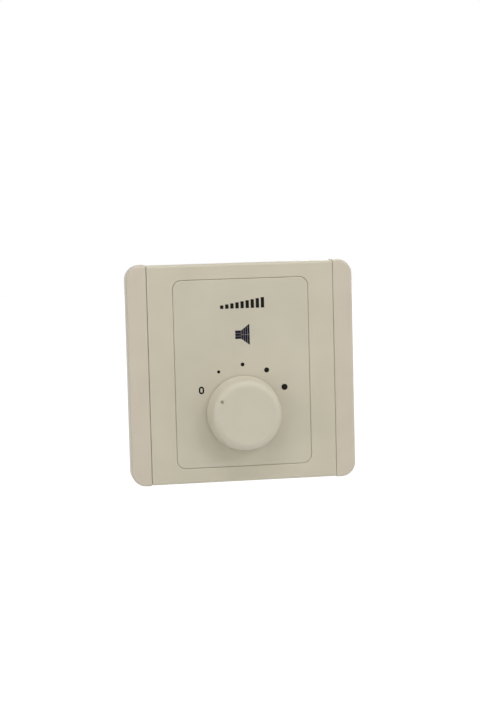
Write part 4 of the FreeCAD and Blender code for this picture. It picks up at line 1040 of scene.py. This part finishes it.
def drawTerminalScrew(bm, x):
    size = terminalSetting
    centre = (x, size["up"])
    radius, floor = size["headRadius"], size["headHigh"] - size["slotDepth"]
    addThread(bm, centre, size["tip"], size["headLow"] + size["shankInHead"],
              size["shankRadius"], size["pitch"], size["threadDepth"], size["threadSides"])
    addLathe(bm, [(0, size["headLow"]), (radius - size["chamfer"], size["headLow"]),
                  (radius, size["headLow"] + size["chamfer"]), (radius, floor), (0, floor)],
             centre, size["sides"])
    half, rim = size["slotWidth"] / 2, size["rim"]
    bend = rim * size["rimBend"]
    for side in (-1, 1):
        rows = []
        for inset, drop in ((0, size["slotDepth"]), (0, rim), (bend, bend), (rim, 0)):
            r = radius - inset
            start = math.degrees(math.asin(half / r))
            arc = ringPoints(r, size["arcPoints"], start, 180 - 2 * start)
            rows.append(addRow(bm, [(centre[0] + a, centre[1] + side * b) for a, b in arc],
                               size["headHigh"] - drop))
        joinRows(bm, rows)
        bm.faces.new(rows[0])
        bm.faces.new(rows[-1])


for number, (x, _) in zip(terminals, polePins):
    addPiece(f"slotted_screw_{number}", f"terminal_screw_{number}", "plated",
             lambda bm: drawTerminalScrew(bm, x),
             [f"terminal_screw_{number}"])
print("terminal screws made")


frameMarks = {
    "face": -0.5,  # recessed rear face of the frame
    "sunk": 0.02,
    "relief": 0.06,
    "pins": ((-19.5, 31.0), (19.5, 31.0), (-19.5, -31.0), (19.5, -31.0), (-17.0, 8.0), (17.0, 8.0)),
    "pinRadius": 2.0,
    "pinLine": 0.12,
    "pinSides": 32,
    "arrow": (0.0, 22.0),
    "arrowSize": 3.2,
    "arrowRelief": 0.14,  # above the ejector marks
    "stemSize": (1.0, 3.0),
}
bushingThread = {
    "low": -6.45,
    "high": -5.1,
    "crest": 4.76,
    "depth": 0.28,
    "pitch": 0.75,
    "bore": 4.2,
    "steps": 24,
    "sides": 60,
}


def drawFrameMarks(bm):
    # ejector marks and an arrow that shows which side goes up
    size = frameMarks
    low, high = size["face"] - size["sunk"], size["face"] + size["relief"]
    for centre in size["pins"]:
        addRing(bm, centre, size["pinRadius"] - size["pinLine"], size["pinRadius"], low, high,
                size["pinSides"])
    x, z = size["arrow"]
    half = size["arrowSize"] / 2
    stem, length = size["stemSize"]
    for points in ([(x - half, z), (x + half, z), (x, z + size["arrowSize"])],
                   boxOutline(x - stem / 2, x + stem / 2, z - length, z)):
        addPrism(bm, points, low, high + size["arrowRelief"])


def drawBushingThread(bm):
    # ridges of the thread in front of the nut
    size = bushingThread
    centre, sides = (0, knobUp), size["sides"]
    rows = []
    for n in range(size["steps"] + 1):
        level = size["low"] + (size["high"] - size["low"]) * n / size["steps"]
        grooves = grooveDepths(level, size["pitch"], size["depth"], sides)
        rows.append(addTurnedRow(bm, centre, level, [size["crest"] - g for g in grooves]))
    for level in (size["high"], size["low"]):
        rows.append(addTurnedRow(bm, centre, level, [size["bore"]] * sides))
    joinRows(bm, rows + rows[:1])


addPiece("frame_marks", "plate", "frame", drawFrameMarks)
addPiece("bushing_thread", "plate", "zinc", drawBushingThread)
print("frame marks and bushing thread made")


lightSetting = {
    "key": {"place": (600, -900, 600), "size": (300, 300), "power": 2.15},
    "top": {"place": (0, -330, 740), "size": (700, 500), "power": 3.05},
    "left": {"place": (-820, -560, 200), "size": (900, 900), "power": 3.8},
    "right": {"place": (820, -450, 120), "size": (800, 800), "power": 2.6},
    "back": {"place": (460, 760, 60), "size": (600, 500), "power": 3.2},
}
surroundings = {
    "sky": 0.15,
    "floorDown": -400.0,
    "floorColour": linear(244, 244, 242),
    "floorRoughness": 0.9,
    "floorGlow": 0.93,  # of white, where the camera sees the floor
    "floorReach": 8000,  # from its middle to its sides
}


def addLight(name, place, size, power):
    data = bpy.data.lights.new(name, "AREA")
    data.shape = "RECTANGLE"
    data.size, data.size_y = size[0] * mm, size[1] * mm
    data.energy = power
    light = bpy.data.objects.new(name, data)
    scene.collection.objects.link(light)
    light.location = Vector(place) * mm
    light.rotation_mode = "QUATERNION"
    light.rotation_quaternion = (-light.location).to_track_quat("-Z", "Y")


def seenShare(tree):
    # 1 for what the camera sees straight, in gloss or through glass
    path = addNode(tree, "ShaderNodeLightPath")
    first = addNode(tree, "ShaderNodeMath", {"operation": "MAXIMUM"})
    second = addNode(tree, "ShaderNodeMath", {"operation": "MAXIMUM"})
    tree.links.new(path.outputs["Is Camera Ray"], first.inputs[0])
    tree.links.new(path.outputs["Is Glossy Ray"], first.inputs[1])
    tree.links.new(first.outputs["Value"], second.inputs[0])
    tree.links.new(path.outputs["Is Transmission Ray"], second.inputs[1])
    return second.outputs["Value"]


def addWorld(strength):
    world = bpy.data.worlds.new("studio")
    world.use_nodes = True
    scene.world = world
    tree = world.node_tree
    sky = tree.nodes["Background"]
    sky.inputs["Color"].default_value = (1, 1, 1, 1)
    sky.inputs["Strength"].default_value = strength
    white = addNode(tree, "ShaderNodeBackground", inputs={"Color": (1, 1, 1, 1), "Strength": 1.0})
    choose = addNode(tree, "ShaderNodeMixShader")
    tree.links.new(seenShare(tree), choose.inputs["Fac"])
    tree.links.new(sky.outputs["Background"], choose.inputs[1])
    tree.links.new(white.outputs["Background"], choose.inputs[2])
    tree.links.new(choose.outputs["Shader"], tree.nodes["World Output"].inputs["Surface"])


def addFloor(setting):
    material, tree, shader = newMaterial("paleFloor")
    shader.inputs["Base Color"].default_value = (*setting["floorColour"], 1)
    shader.inputs["Roughness"].default_value = setting["floorRoughness"]
    lift = addNode(tree, "ShaderNodeEmission", inputs={"Color": (1, 1, 1, 1)})
    share = addNode(tree, "ShaderNodeMath", {"operation": "MULTIPLY"}, {1: setting["floorGlow"]})
    both = addNode(tree, "ShaderNodeAddShader")
    tree.links.new(seenShare(tree), share.inputs[0])
    tree.links.new(share.outputs["Value"], lift.inputs["Strength"])
    tree.links.new(shader.outputs["BSDF"], both.inputs[0])
    tree.links.new(lift.outputs["Emission"], both.inputs[1])
    tree.links.new(both.outputs["Shader"], tree.nodes["Material Output"].inputs["Surface"])
    bm = bmesh.new()
    bmesh.ops.create_grid(bm, x_segments=2, y_segments=2, size=setting["floorReach"] * mm)
    mesh = bpy.data.meshes.new("floor")
    bm.to_mesh(mesh)
    bm.free()
    mesh.materials.append(material)
    floor = bpy.data.objects.new("floor", mesh)
    scene.collection.objects.link(floor)
    floor.location.z = setting["floorDown"] * mm


for name, setting in lightSetting.items():
    addLight(name + "Light", **setting)
addWorld(surroundings["sky"])
addFloor(surroundings)
scene.view_settings.view_transform = "Standard"
print("light and surroundings set")
